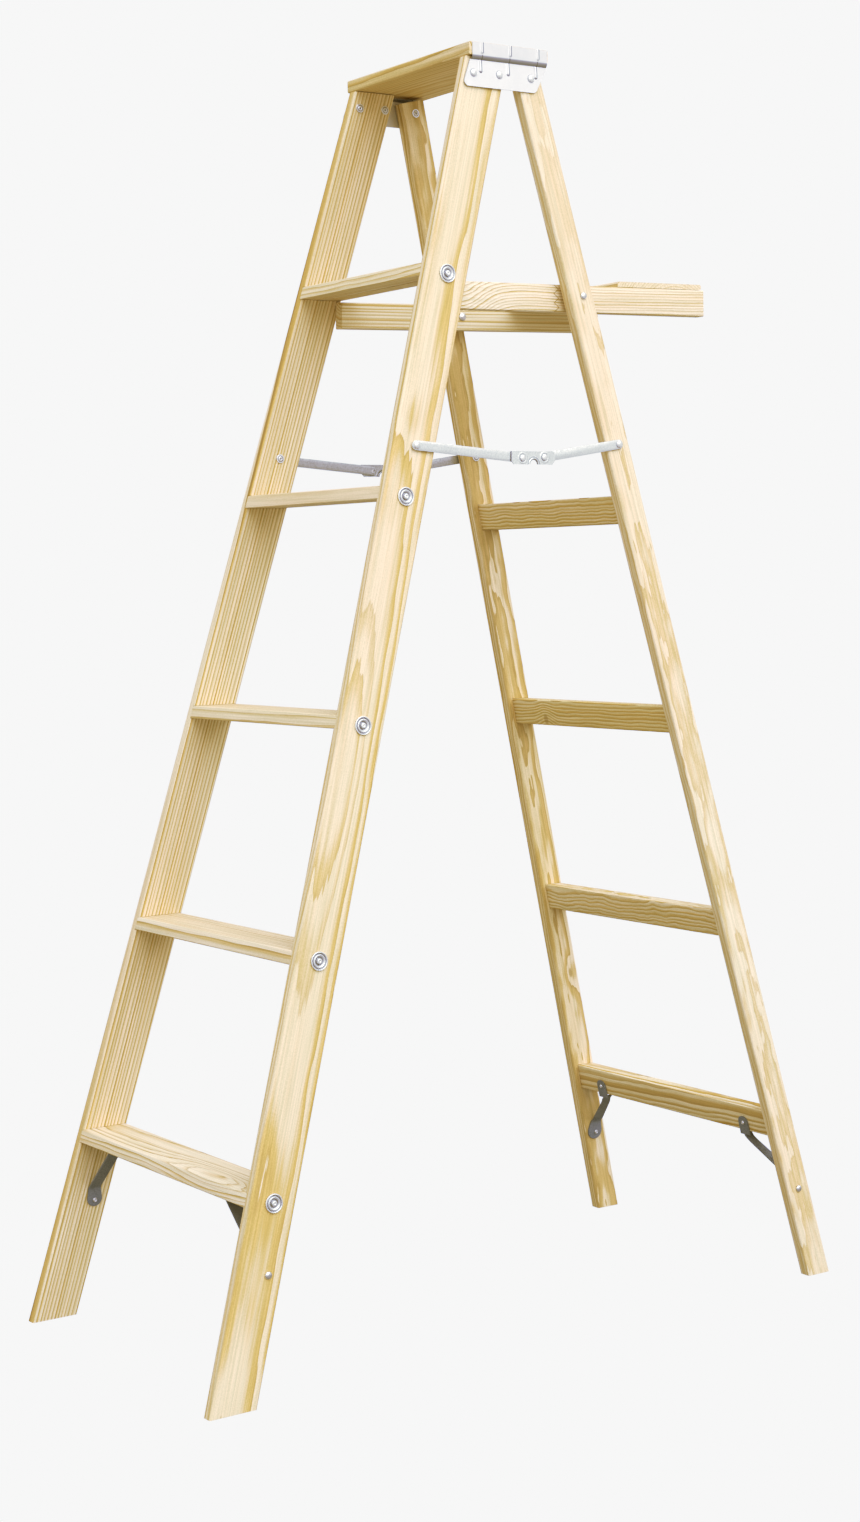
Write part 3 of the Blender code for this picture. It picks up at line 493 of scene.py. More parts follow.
def fold_painted_shade(n, x, y, z):
    """Painted shade under the bracket's half-round fold, down one flank of each pressed rib, round the ribs'
    dimple ends and round the rivets.
    """
    shading = n.mul(n.smooth(z, CAP_UNDERSIDE + 0.0006, CAP_UNDERSIDE - 0.0016),
                 n.smooth(z, CAP_UNDERSIDE - 0.0064, CAP_UNDERSIDE - 0.0056))
    shading = n.mul(shading, 0.62)
    above = n.math("GREATER_THAN", z, CAP_UNDERSIDE)
    low = DIMPLE - 0.0006
    floor = n.mad(above, CAP_UNDERSIDE + 0.0030 - low, low)
    for wrap_y, plate_y in RIBS:
        centre = n.mad(above, wrap_y - plate_y, FOOT_Y + plate_y + RIB_HALF * 0.85)
        flank = n.mul(band(n, n.sub(y, centre), 0.0, 0.0014), n.smooth(n.sub(z, floor), -0.0008, 0.0004))
        shading = n.most(shading, n.mul(flank, 0.85))
        tip = n.mul(band(n, around(n, y, z, (plate_y, DIMPLE)), 0.0022, 0.0011),
                    n.smooth(z, DIMPLE + 0.0004, DIMPLE - 0.0011))
        shading = n.most(shading, n.mul(tip, 0.75))
    for point in (*BRACKET_RIVETS, FOLD_PIVOT):
        shading = n.most(shading, n.smooth(around(n, y, z, point), 0.0064, 0.0048, 0.0, 0.5))
    return shading


def elbow_painted_shade(n, x, y, z):
    """Painted shade either side of the elbow plate's pressed arch, round its rivets and along its front end.
    """
    radius = around(n, y, z, ELBOW_ARCH)
    shading = n.most(band(n, radius, 0.0096, 0.0009), n.smooth(radius, 0.0070, 0.0064))
    for point in (LINK_B, LINK_C):
        shading = n.most(shading, n.smooth(around(n, y, z, point), 0.0058, 0.0046, 0.0, 0.7))
    front = FOOT_Y + LINK_B[0] - 0.0178
    return n.mul(n.most(shading, n.smooth(y, front, front - 0.0008)), 0.65)


# ---- wooden pieces ----
def rail_shape(rail, side, tops, pockets, holes):
    """A rail with bevelled arrises, pockets (top, height, y from, y to) and pin holes."""
    shape = bmesh.new()
    rows = []
    for front_z, back_z in ((0.0, 0.0), tops):
        rows.append([(side * face(rail, z), edge(rail, z) + back, z) for face, z, back in (
            (outer, front_z, 0.0), (outer, back_z, rail["depth"]),
            (inner, back_z, rail["depth"]), (inner, front_z, 0.0))])
    bevel(shape, prism(shape, *rows), ARRIS)
    pocket_shape = bmesh.new()
    for top, height, y_from, y_to in pockets:
        rows = []
        for z in (top - height - GAP, top + GAP):
            rows.append(rectangle(side * (inner(rail, z) + HOUSING + GAP), side * (inner(rail, z) - 0.004),
                                  edge(rail, z) + y_from, edge(rail, z) + y_to, z))
        prism(pocket_shape, *rows)
    return carve(shape, ("DIFFERENCE", pocket_shape), ("DIFFERENCE", drill(holes, side)))


def cross_piece_shape(top, height, rail, y_offset, depth, radius):
    shape = bmesh.new()
    rows = []
    for z in (top - height, top):
        reach = inner(rail, z) + HOUSING
        low = edge(rail, z) + y_offset
        rows.append(rectangle(-reach, reach, low, low + depth, z))
    prism(shape, *rows)
    bevel(shape, [e for e in shape.edges if span(e) > 0.2], radius, 4)
    return shape


FRONT_RAIL_LOOKS = {
    "left": dict(pith=(-0.115, 0.012), tilt=(0.0035, 0.0), ring=0.0052, wander=0.0018, wave=0.5, seed=2.0,
                 strength=1.2, sharp=0.56, line=0.95, ripple=0.15, jag=0.0008, pale=(0.91, 0.795, 0.56)),
    "right": dict(pith=(0.014, -0.050), tilt=(0.0, -0.006), ring=0.0078, wander=0.0050, wave=1.3, seed=6.3,
                  strength=0.88, sharp=0.52, line=0.25, ripple=0.85, fine=(6.0, 34.0), jag=0.0030,
                  pale=(0.83, 0.71, 0.475),
                  swells=((-0.100, 0.020, 0.205, 0.042, -0.016), (-0.590, 0.014, 0.075, 0.016, 0.006),
                          (-0.780, 0.012, 0.170, 0.030, 0.007), (0.385, 0.014, 0.045, 0.015, 0.006),
                          (0.530, 0.014, 0.150, 0.030, 0.005))),
}
REAR_RAIL_LOOKS = {
    "left": dict(pith=(0.006, -0.036), tilt=(0.006, 0.004), ring=0.0056, wander=0.0060, wave=2.4, seed=13.0,
                 strength=1.1, sharp=0.45, line=0.5, ripple=0.8, fine=(13.0, 50.0), jag=0.0024,
                 pale=(0.83, 0.68, 0.42), gold=(0.57, 0.38, 0.13),
                 knots=((-0.47, -0.006, 0.030, 0.012, 0.007),)),
    "right": dict(pith=(-0.004, -0.060), tilt=(0.0, -0.008), ring=0.0064, wander=0.0050, wave=2.6, seed=21.0,
                  strength=0.72, sharp=0.54, line=0.15, ripple=1.15, fine=(14.0, 62.0), jag=0.0030,
                  pale=(0.86, 0.76, 0.55)),
}
TREAD_LOOKS = (
    dict(pith=(0.010, -0.060), tilt=(0.0, 0.010), ring=0.0042, wander=0.0040, wave=2.0, seed=31.0,
         strength=0.9, sharp=0.66, line=0.65, pale=(0.87, 0.77, 0.575),
         swells=((0.125, -0.0135, 0.110, 0.022, 0.018),), knots=((0.137, -0.0135, 0.016, 0.006, 0.002),)),
    dict(pith=(0.110, -0.110), ring=0.0038, wander=0.0020, wave=1.0, seed=37.0, strength=0.85,
         sharp=0.62, line=0.55, ripple=0.2, pale=(0.88, 0.785, 0.59)),
    dict(pith=(0.130, -0.120), ring=0.0038, wander=0.0020, wave=0.9, seed=43.0, strength=0.85,
         sharp=0.62, line=0.55, ripple=0.2),
    dict(pith=(0.140, -0.060), ring=0.0036, wander=0.0028, wave=0.9, seed=47.0, strength=0.45, sharp=0.66,
         pale=(0.86, 0.75, 0.54)),
    dict(pith=(0.060, -0.080), tilt=(0.0, 0.012), ring=0.0042, wander=0.0045, wave=1.6, seed=53.0,
         strength=0.95, sharp=0.60, line=0.5),
)
BAR_LOOKS = (
    dict(pith=(0.045, -0.006), tilt=(0.030, 0.0), ring=0.0076, wander=0.0075, wave=2.6, seed=61.0,
         strength=1.2, sharp=0.50, line=0.75, ripple=0.5, fine=(14.0, 30.0), gold=(0.56, 0.36, 0.11)),
    dict(pith=(0.036, 0.002), tilt=(0.020, 0.0), ring=0.0052, wander=0.0080, wave=4.0, seed=67.0,
         strength=1.0, sharp=0.55, line=0.5, ripple=0.7),
    dict(pith=(0.050, 0.058), ring=0.0046, wander=0.0060, wave=3.0, seed=71.0, strength=1.25, sharp=0.50,
         line=0.8, ripple=0.6, pale=(0.84, 0.71, 0.42), knots=((-0.108, -0.010, 0.020, 0.030, 0.010),)),
    dict(pith=(0.052, 0.048), ring=0.0046, wander=0.0060, wave=4.0, seed=79.0, strength=1.25, sharp=0.50,
         line=0.8, ripple=0.7, pale=(0.84, 0.71, 0.42)),
)


def make_board(node, shape, basis, look, body, kind="board"):
    place(node, kind, shape, pine(f"pine_{node}", basis, **look), body)


def make_rails(name, rail, body, tops, pockets, holes, looks):
    middle = tops[0] / 2
    for label, side in SIDES:
        x = side * (outer(rail, middle) - rail["thickness"] / 2)
        basis = board_frame((x, edge(rail, middle) + rail["depth"] / 2, middle),
                            (-side * rail["taper"], rail["lean"], 1.0), (1, 0, 0))
        make_board(f"{name}_{label}", rail_shape(rail, side, tops, pockets, holes), basis, looks[label],
                   body)


def make_front_rails():
    holes = [*map(rod_point, range(5)), *BRACKET_RIVETS, LINK_A, TREAD_BRACE_RIVET]
    pockets = [(tread_top(i), TREAD_THICKNESS, -0.004, TREAD_DEPTH + GAP) for i in range(5)]
    height = CAP_UNDERSIDE - 0.0010
    make_rails("front_rail", FRONT, "front_section", (height, height), pockets, holes, FRONT_RAIL_LOOKS)


def make_rear_rails():
    lean = math.atan(-REAR["lean"])
    top = FOLD_PIVOT[1] + 0.0168 * math.cos(lean)
    drop = REAR["depth"] * math.cos(lean) / 2 * math.sin(lean)
    pockets = [(top, BAR_HEIGHT, BAR_SETBACK - GAP, REAR["depth"] + 0.004) for top in BAR_TOPS]
    holes = [FOLD_PIVOT, SHELF_BOLT, LINK_D, REAR_BRACE_RIVET]
    make_rails("rear_rail", REAR, "rear_section", (top - drop, top + drop), pockets, holes, REAR_RAIL_LOOKS)


def make_treads():
    for i, look in enumerate(TREAD_LOOKS):
        top = tread_top(i)
        shape = cross_piece_shape(top, TREAD_THICKNESS, FRONT, 0.0, TREAD_DEPTH, 0.0016)
        rod, half = rod_point(i), SHANK + GAP
        groove = arc(rod, half, 0, 180, 12) + [(rod[0] - half, rod[1] - 0.01), (rod[0] + half, rod[1] - 0.01)]
        shape = carve(shape, ("DIFFERENCE", side_prism(groove)))
        middle = (0, edge(FRONT, top) + TREAD_DEPTH / 2, top - TREAD_THICKNESS / 2)
        make_board(f"tread_{i + 1}", shape, board_frame(middle, (1, 0, 0), (0, 0, 1)), look,
                   "front_section")


def make_rear_bars():
    depth = REAR["depth"] - BAR_SETBACK - 0.0005
    for i, (top, look) in enumerate(zip(BAR_TOPS, BAR_LOOKS)):
        shape = cross_piece_shape(top, BAR_HEIGHT, REAR, BAR_SETBACK, depth, 0.0017)
        z = top - BAR_HEIGHT / 2
        middle = (0, edge(REAR, z) + BAR_SETBACK + depth / 2, z)
        make_board(f"rear_bar_{i + 1}", shape, board_frame(middle, (1, 0, 0), (0, -1, 0)), look,
                   "rear_section")


def make_cap():
    shape = bmesh.new()
    low, high = (FOOT_Y + y for y in CAP_Y)
    prism(shape, *(rectangle(-CAP_HALF, CAP_HALF, low, high, z) for z in (CAP_UNDERSIDE, CAP_TOP)))
    bevel(shape, [e for e in shape.edges if span(e) > 0.1], 0.0022, 4)
    basis = board_frame((0, FOOT_Y + sum(CAP_Y) / 2, (CAP_TOP + CAP_UNDERSIDE) / 2), (1, 0, 0), (0, 0, 1))
    look = dict(pith=(0.020, 0.046), tilt=(0.02, 0.006), ring=0.0050, wander=0.0065, wave=2.2, seed=83.0,
                strength=1.0, sharp=0.55, line=0.5, pale=(0.78, 0.62, 0.34))
    make_board("top_cap", shape, basis, look, "front_section")


ARM = {"front": 0.4770, "back": 0.9250, "front_half": 0.1470, "back_half": 0.1306, "top": 1.4140,
       "rise": 0.0096, "thickness": 0.0170, "height": 0.0370}


def arm_outer(y):
    share = (y - ARM["front"]) / (ARM["back"] - ARM["front"])
    return ARM["front_half"] + share * (ARM["back_half"] - ARM["front_half"])


def arm_top(y):
    return ARM["top"] + (y - ARM["front"]) / (ARM["back"] - ARM["front"]) * ARM["rise"]


def make_shelf():
    looks = {
        "left": dict(pith=(0.030, 0.010), ring=0.0050, wander=0.003, wave=1.4, seed=91.0, strength=1.1,
                     line=0.5, pale=(0.86, 0.76, 0.55)),
        "right": dict(pith=(-0.130, 0.020), ring=0.0038, wander=0.0040, wave=3.0, seed=97.0, strength=1.0,
                      sharp=0.62, line=0.7, pale=(0.93, 0.85, 0.68),
                      swells=((-0.215, -0.022, 0.055, 0.050, 0.030),),
                      splice=(-0.0445, 1.3, 0.0062, (0.018, 0.03))),
    }
    for label, side in SIDES:
        shape = bmesh.new()
        ends = []
        for y in (ARM["front"], ARM["back"]):
            out, top = arm_outer(y), arm_top(y)
            back, low = out - ARM["thickness"], top - ARM["height"]
            ends.append([(side * x, FOOT_Y + y, z)
                         for x, z in ((out, top), (out, low), (back, low), (back, top))])
        bevel(shape, prism(shape, *ends), 0.0018, 4)
        shape = carve(shape, ("DIFFERENCE", drill([SHELF_BOLT], side)))
        middle = (ARM["front"] + ARM["back"]) / 2
        origin = (side * (arm_outer(middle) - ARM["thickness"] / 2), FOOT_Y + middle,
                  arm_top(middle) - ARM["height"] / 2)
        along = (side * (ARM["back_half"] - ARM["front_half"]), ARM["back"] - ARM["front"], ARM["rise"])
        make_board(f"shelf_arm_{label}", shape, board_frame(origin, along, (1, 0, 0)), looks[label],
                   "pail_shelf")
    shape = bmesh.new()
    front, back, thickness = 0.7640, 0.9210, 0.0075
    prism(shape, *([(side * (arm_outer(y) - 0.0006), FOOT_Y + y, arm_top(y) + lift)
                    for y, side in ((front, -1), (front, 1), (back, 1), (back, -1))]
                   for lift in (GAP, GAP + thickness)))
    bevel(shape, [e for e in shape.edges if span(e) > 0.1 and e.verts[0].co.z > ARM["top"] + thickness],
          0.0032, 5)
    middle = (front + back) / 2
    basis = board_frame((0, FOOT_Y + middle, arm_top(middle) + thickness / 2), (1, 0, 0), (0, 0, 1))
    look = dict(pith=(0.03, -0.06), tilt=(0.0, 0.01), ring=0.004, wander=0.005, seed=103.0, strength=0.6)
    make_board("shelf_board", shape, basis, look, "pail_shelf", "panel")


# ---- steel pieces ----
def dome_profile(radius, height, base, steps=8, brim=0.0004):
    points = [(radius, base), (radius, base + brim)]
    for i in range(1, steps):
        angle = math.radians(90 * i / steps)
        points.append((radius * math.cos(angle), base + brim + (height - brim) * math.sin(angle)))
    points.append((0.0, base + height))
    return points


def hollow_tail(radius=0.0062, ring=0.0030, height=0.0016):
    """Profile of a rivet's inner end: a thin washer, the rolled ring and its hollow."""
    return [(0.0, -0.0002), (0.0011, -0.0003), (0.0016, -0.0012), (0.0022, -height), (ring, -height + 0.0002),
            (ring + 0.0006, -0.0008), (radius - 0.0004, -0.0007), (radius, -0.0004), (radius, 0.0)]


def rivet(name, head_x, tail_x, point, side, body, material, head=(0.0050, 0.0026), tail=None):
    length = abs(head_x - tail_x)
    profile = [*(tail or hollow_tail()), (SHANK, 0.0), (SHANK, length), *dome_profile(*head, length)]
    origin = (side * tail_x, FOOT_Y + point[0], point[1])
    place(name, "detail", lathe(profile, origin, (side, 0, 0)), material, body, origin)


# a cupped washer and its rod's peened end, as (radius, distance) from the rail's face
WASHER = ((0.0, 0.0), (0.0118, 0.0), (0.0123, 0.0004), (0.0124, 0.0012), (0.0120, 0.0019), (0.0113, 0.0021),
          (0.0106, 0.0018), (0.0101, 0.0010), (0.0095, 0.0008), (0.0090, 0.0013), (0.0085, 0.0021),
          (0.0078, 0.0023), (0.0070, 0.0019), (0.0058, 0.0010), (0.0046, 0.0008), (0.0040, 0.0012),
          (0.0037, 0.0022), (0.0033, 0.0029), (0.0022, 0.0033), (0.0012, 0.0032), (0.0006, 0.0027),
          (0.0, 0.0026))


def make_rods(material):
    for i in range(5):
        y, z = rod_point(i)
        origin = (0.0, FOOT_Y + y, z)
        reach = outer(FRONT, z) + 0.0012
        shape = lathe(((0.0, -reach), (SHANK, -reach), (SHANK, reach), (0.0, reach)), origin, (1, 0, 0), 24)
        washers = bmesh.new()
        for _, side in SIDES:
            tilt = Vector((side, 0.0, FRONT["taper"])).normalized()
            face = Vector((side * outer(FRONT, z), FOOT_Y + y, z))
            merge(washers, lathe(WASHER, face + tilt * GAP, tilt, 48))
        place(f"tread_rod_{i + 1}", "washers", carve(shape, ("UNION", washers)), material,
              "front_section", origin, sharp=38)


def sheet_grid(path, y_low, y_high, steps, side, lift):
    """A closed sheet from a front-view path, thickened by SHEET; lift(y, z) raises it outwards."""
    shape = bmesh.new()
    points = [Vector(p) for p in path]
    layers = []
    for half in (-SHEET / 2, SHEET / 2):
        grid = []
        for k, point in enumerate(points):
            along = (points[min(k + 1, len(points) - 1)] - points[max(k - 1, 0)]).normalized()
            normal = Vector((along.y, -along.x))
            row = []
            for i in range(steps + 1):
                y = y_low + (y_high - y_low) * i / steps
                spot = point + normal * (lift(y, point.y) + half)
                row.append(shape.verts.new((side * spot.x, FOOT_Y + y, spot.y)))
            grid.append(row)
        layers.append(grid)
    low, high = layers
    last = len(points) - 1
    for grid in layers:
        for k in range(last):
            for i in range(steps):
                shape.faces.new((grid[k][i], grid[k][i + 1], grid[k + 1][i + 1], grid[k + 1][i]))
    for k in (0, last):
        for i in range(steps):
            shape.faces.new((low[k][i], low[k][i + 1], high[k][i + 1], high[k][i]))
    for i in (0, steps):
        for k in range(last):
            shape.faces.new((low[k][i], low[k + 1][i], high[k + 1][i], high[k][i]))
    return shape


# where each pressed rib lies on the wrap and on the plate, behind the front feet
RIBS = ((0.5277, 0.5265), (0.5738, 0.5717), (0.6198, 0.6176))
RIB_HALF = 0.0022
RIB_RISE = 0.0016
DIMPLE = 1.6911  # height of the ribs' round ends on the plate


def rib_lift(y, z):
    """Height of the pressed ribs, which end in round dimples on the wrap and on the plate."""
    lift = 0.0
    on_wrap = z > CAP_UNDERSIDE
    fade = 1.0 if on_wrap else min(1.0, max(0.0, (CAP_UNDERSIDE - 0.0055 - z) / 0.0015))
    for wrap_y, plate_y in RIBS:
        centre, end = (wrap_y, CAP_UNDERSIDE + 0.0036) if on_wrap else (plate_y, DIMPLE)
        distance = math.hypot(y - centre, max(0.0, end - z)) / RIB_HALF
        if distance < 1.0:
            lift = max(lift, RIB_RISE * math.cos(distance * math.pi / 2) ** 0.8 * fade)
    return lift


def make_brackets(steel, rivets):
    half = SHEET / 2
    wrap = CAP_HALF + GAP + half
    knee = CAP_UNDERSIDE - 0.0060

    def plate_x(z):
        return outer(REAR, z) + PLATE_CLEARANCE + half

    path = [(plate_x(z), z) for z in [PLATE_BOTTOM + (knee - PLATE_BOTTOM) * i / 48 for i in range(49)]]
    inset = wrap - plate_x(knee)
    for i in range(7):
        angle = math.radians(75 - 75 * i / 6)
        path.append((wrap - inset * (1 - math.cos(angle)), CAP_UNDERSIDE + 0.0002 - 0.0056 * math.sin(angle)))
    top = CAP_TOP - 0.0006
    start = CAP_UNDERSIDE + 0.0008
    path += [(wrap, start + (top - start) * i / 20) for i in range(21)]
    front, front_top = 0.5125, CAP_UNDERSIDE - 0.0055
    back, above = 0.6355, 1.75
    outline = [(front, above), (front, front_top), (0.5109, front_top)]
    outline += arc((0.5060, PLATE_BOTTOM + 0.0065), 0.0065, 158, 270, 10)
    outline += arc((0.6117, PLATE_BOTTOM + 0.0080), 0.0080, 270, 330, 8)
    outline += [(back, 1.7028), (back, above)]
    for label, side in SIDES:
        shape = carve(sheet_grid(path, 0.496, 0.645, 226, side, rib_lift), ("INTERSECT", side_prism(outline)),
                      ("DIFFERENCE", drill([*BRACKET_RIVETS, FOLD_PIVOT], side)))
        place(f"top_bracket_{label}", "sheet", shape, steel, "front_section", sharp=40)
        for name, rail, point in (("bracket_rivet_front", FRONT, BRACKET_RIVETS[0]),
                                  ("bracket_rivet_back", FRONT, BRACKET_RIVETS[1]),
                                  ("fold_pivot", REAR, FOLD_PIVOT)):
            head = outer(REAR, point[1]) + PLATE_CLEARANCE + SHEET + 0.0002
            rivet(f"{name}_{label}", head, inner(rail, point[1]) - PROUD, point, side, "front_section",
                  rivets)


def flat_bar(name, first, second, layer, holes, side, body, material):
    shape = side_prism(stadium(first, second, 0.0065), side * layer, side * (layer + SHEET))
    bmesh.ops.recalc_face_normals(shape, faces=shape.faces)
    bevel(shape, [e for e in shape.edges if span(e) < 1e-6], 0.0003, 2)
    shape = carve(shape, ("DIFFERENCE", drill(holes, side)))
    place(name, "bar", shape, material, body)


def elbow_lift(y, z):
    """The elbow plate's stamped rings: a half-round arch between the rivets and a boss at each."""
    lift = 0.0
    for point, rise, radius, width in ((ELBOW_ARCH, 0.0013, 0.0078, 0.0011),
                                       (LINK_B, 0.0004, 0.0066, 0.0010), (LINK_C, 0.0004, 0.0066, 0.0010)):
        away = math.hypot(y - point[0], z - point[1]) - radius
        lift += rise * math.exp(-(away / width) ** 2)
    return lift


def make_spreaders(steels, rivets):
    left, right = LINK_B[0] - 0.0190, LINK_C[0] + 0.0175
    low, high, clip = ELBOW_ARCH[1], 1.1880, 0.0045
    outline = [(left, high), (left, low + clip), (left + clip, low), *arc(ELBOW_ARCH, 0.0062, 180, 0, 18),
               (right - clip, low), (right, low + clip), (right, high - 0.002), (right - 0.002, high)]
    path = [(ELBOW_LAYER + SHEET / 2, low - 0.002 + (high - low + 0.004) * i / 48) for i in range(49)]
    for label, side in SIDES:
        steel, elbow_steel = steels[label]
        flat_bar(f"spreader_link_front_{label}", LINK_A, LINK_B, FRONT_LAYER, (LINK_A, LINK_B), side,
                 f"spreader_front_{label}", steel)
        flat_bar(f"spreader_link_rear_{label}", LINK_D, LINK_C, REAR_LAYER, (LINK_D,), side,
                 f"spreader_rear_{label}", steel)
        elbow = f"spreader_elbow_{label}"
        shape = carve(sheet_grid(path, left - 0.002, right + 0.002, 180, side, elbow_lift),
                      ("INTERSECT", side_prism(outline)), ("DIFFERENCE", drill((LINK_B, LINK_C), side)))
        place(elbow, "plate", shape, elbow_steel, elbow, sharp=40)
        for where, rail, layer, point in (("front", FRONT, FRONT_LAYER, LINK_A),
                                          ("rear", REAR, REAR_LAYER, LINK_D)):
            rivet(f"spreader_rivet_{where}_{label}", layer + SHEET + GAP, inner(rail, point[1]) - PROUD,
                  point, side, f"{where}_section", rivets)
        for where, point, start in (("front", LINK_B, 0.1823), ("rear", LINK_C, 0.1827)):
            rivet(f"elbow_rivet_{where}_{label}", ELBOW_LAYER + SHEET + GAP, start, point, side, elbow,
                  rivets, (0.0046, 0.0020), [(0.0, 0.0)])


def strap(path, y_low, y_high, side):
    """A bent strap: a front-view path of (x, z) points, thickened and extruded along Y."""
    points = [Vector(point) for point in path]
    left, right = [], []
    for i, point in enumerate(points):
        before = (point - points[i - 1]).normalized() if i else None
        after = (points[i + 1] - point).normalized() if i + 1 < len(points) else before
        before = before or after
        mitre = Vector((-(before + after).y, (before + after).x)).normalized()
        reach = STRAP_SHEET / 2 / mitre.dot(Vector((-before.y, before.x)))
        left.append(point + mitre * reach)
        right.append(point - mitre * reach)
    shape = bmesh.new()
    prism(shape, *([(side * p.x, FOOT_Y + y, p.y) for p in left + right[::-1]] for y in (y_low, y_high)))
    return shape


def bend(corners, radius, steps=6):
    """Round the inner corners of a path of (x, z) points."""
    points = [Vector(corners[0])]
    for before, corner, after in zip(corners, corners[1:], corners[2:]):
        corner = Vector(corner)
        start = corner + (Vector(before) - corner).normalized() * radius
        end = corner + (Vector(after) - corner).normalized() * radius
        for i in range(steps + 1):
            t = i / steps
            points.append(start * (1 - t) ** 2 + corner * 2 * t * (1 - t) + end * t ** 2)
    points.append(Vector(corners[-1]))
    return points


def ring_head(radius=0.0034, height=0.0014):
    """Profile of a small hollow rivet or screw seen from its head, drawn from the axis out."""
    return [(0.0, -0.0002), (0.0009, -0.0003), (0.0014, -height), (0.0022, -height - 0.0002),
            (radius - 0.0003, -height * 0.6), (radius, 0.0)]


def make_braces(name, rail, body, point, corner_path, outline, reach, screw, steel, rivets, ear=None):
    """A strap, its rivet and its screw on each side.

    corner_path: the strap's upper corners and the radius of its bends; screw(side): the screw's head
    profile, place and direction; ear(side): a tab joined to the strap.
    """
    y, z = point
    inward = GAP + STRAP_SHEET / 2
    upper, radius = corner_path
    path = bend([*((inner(rail, low) - inward, low) for low in (z - STRAP_END, z + STRAP_KNEE)),
                 *upper], radius)
    for label, side in SIDES:
        steps = [("INTERSECT", side_prism(outline)), ("DIFFERENCE", drill([point], side))]
        if ear:
            steps.insert(1, ("UNION", ear(side)))
        shape = carve(strap(path, y - reach, y + reach, side), *steps)
        place(f"{name}_{label}", "strap", shape, steel, body)
        rivet(f"{name}_rivet_{label}", outer(rail, z) + PROUD, inner(rail, z) - 2 * inward - 0.0004, point,
              side, body, rivets, tail=ring_head())
        head, spot, axis = screw(side)
        shape = lathe([*head, (0.0016, 0.0), (0.0016, 0.0110), (0.0, 0.0112)], spot, axis, 24)
        place(f"{name}_screw_{label}", "detail", shape, rivets, body)


def make_tread_braces(steel, rivets):
    y, z = TREAD_BRACE_RIVET
    under = tread_top(0) - TREAD_THICKNESS - GAP
    middle = under - STRAP_SHEET / 2
    half = STRAP_WIDTH / 2
    outline = [*arc((y, z + 0.002), 0.0112, 165, 375, 24), (y + half, z + STRAP_NECK), (y + half, 0.26),
               (y - half, 0.26), (y - half, z + STRAP_NECK)]

    def screw(side):
        return ring_head(), (side * 0.1400, FOOT_Y + y, under - STRAP_SHEET - GAP), (0, 0, 1)

    make_braces("tread_brace", FRONT, "front_section", TREAD_BRACE_RIVET,
                ([(0.1580, middle), (0.1310, middle)], 0.0030), outline, 0.02, screw, steel, rivets)


def make_rear_braces(steel, rivets):
    y, z = REAR_BRACE_RIVET
    under = BAR_TOPS[0] - BAR_HEIGHT
    ear_x, ear_z, ear_half = 0.1670, 0.2172, 0.0098
    front = edge(REAR, under) - FOOT_Y + BAR_SETBACK - GAP - STRAP_SHEET * 0.4
    back = front + STRAP_WIDTH * 0.8
    half = STRAP_WIDTH / 2
    outline = [*arc((y - 0.002, z + 0.002), 0.0132, 170, 370, 24), (y + half, z + STRAP_NECK), (back, 0.196),
               (back, 0.21), (front, 0.21), (front, 0.196), (y - half, z + STRAP_NECK)]

    def ear(side):
        shape = bmesh.new()
        face = [*arc((side * ear_x, ear_z), ear_half, 0, 180, 15), (side * ear_x - ear_half, 0.1990),
                (side * ear_x + ear_half, 0.1990)]
        prism(shape, *([(px, edge(REAR, pz) + BAR_SETBACK - GAP - depth, pz) for px, pz in face]
                       for depth in (0.0, STRAP_SHEET)))
        return shape

    def screw(side):
        spot = (side * ear_x, edge(REAR, ear_z) + BAR_SETBACK - GAP - STRAP_SHEET - GAP, ear_z)
        return ring_head(0.0030, 0.0012), spot, (0, 1, -REAR["lean"])

    make_braces("rear_brace", REAR, "rear_section", REAR_BRACE_RIVET,
                ([(0.1740, 0.1900), (0.1640, under - 0.0035)], 0.0036), outline, 0.06, screw, steel, rivets,
                ear)


def make_shelf_bolts(rivets):
    y, z = SHELF_BOLT
    low, high = arm_outer(y) + PROUD, inner(REAR, z) - 0.0007
    profile = [(SHANK + GAP, low), (0.0066, low), (0.0070, low + 0.0003), (0.0070, high - 0.0003),
               (0.0066, high), (SHANK + GAP, high)]
    for label, side in SIDES:
        start = arm_outer(y) - ARM["thickness"] - PROUD
        rivet(f"shelf_bolt_{label}", outer(REAR, z) + PROUD, start, SHELF_BOLT, side, "rear_section", rivets,
              tail=[(0.0, -0.0032), (0.0028, -0.0030), (0.0056, -0.0012), (0.0056, 0.0)])
        shape = lathe(profile, (0.0, FOOT_Y + y, z), (side, 0, 0), closed=True)
        place(f"shelf_spacer_{label}", "tube", shape, rivets, "rear_section")


# ---- stage ----
BACKDROP = (0.93, 0.93, 0.93)
LOW_LIGHT = (0.39, 0.35, 0.27)
HIGH_LIGHT = (0.98, 0.945, 0.87)
# the floor's glow that lights the ladder from below: dimmer near the ladder as its painted shadow, brighter
# far off
FLOOR_NEAR = (0.33, 0.30, 0.24)
FLOOR_FAR = (0.62, 0.58, 0.50)
GRADE = {"green": ((0.0, 0.0), (0.30, 0.284), (0.66, 0.69), (0.93, 0.93), (1.0, 1.0)),
         "blue": ((0.0, 0.0), (0.16, 0.112), (0.42, 0.50), (0.70, 0.76), (0.93, 0.93), (1.0, 1.0))}


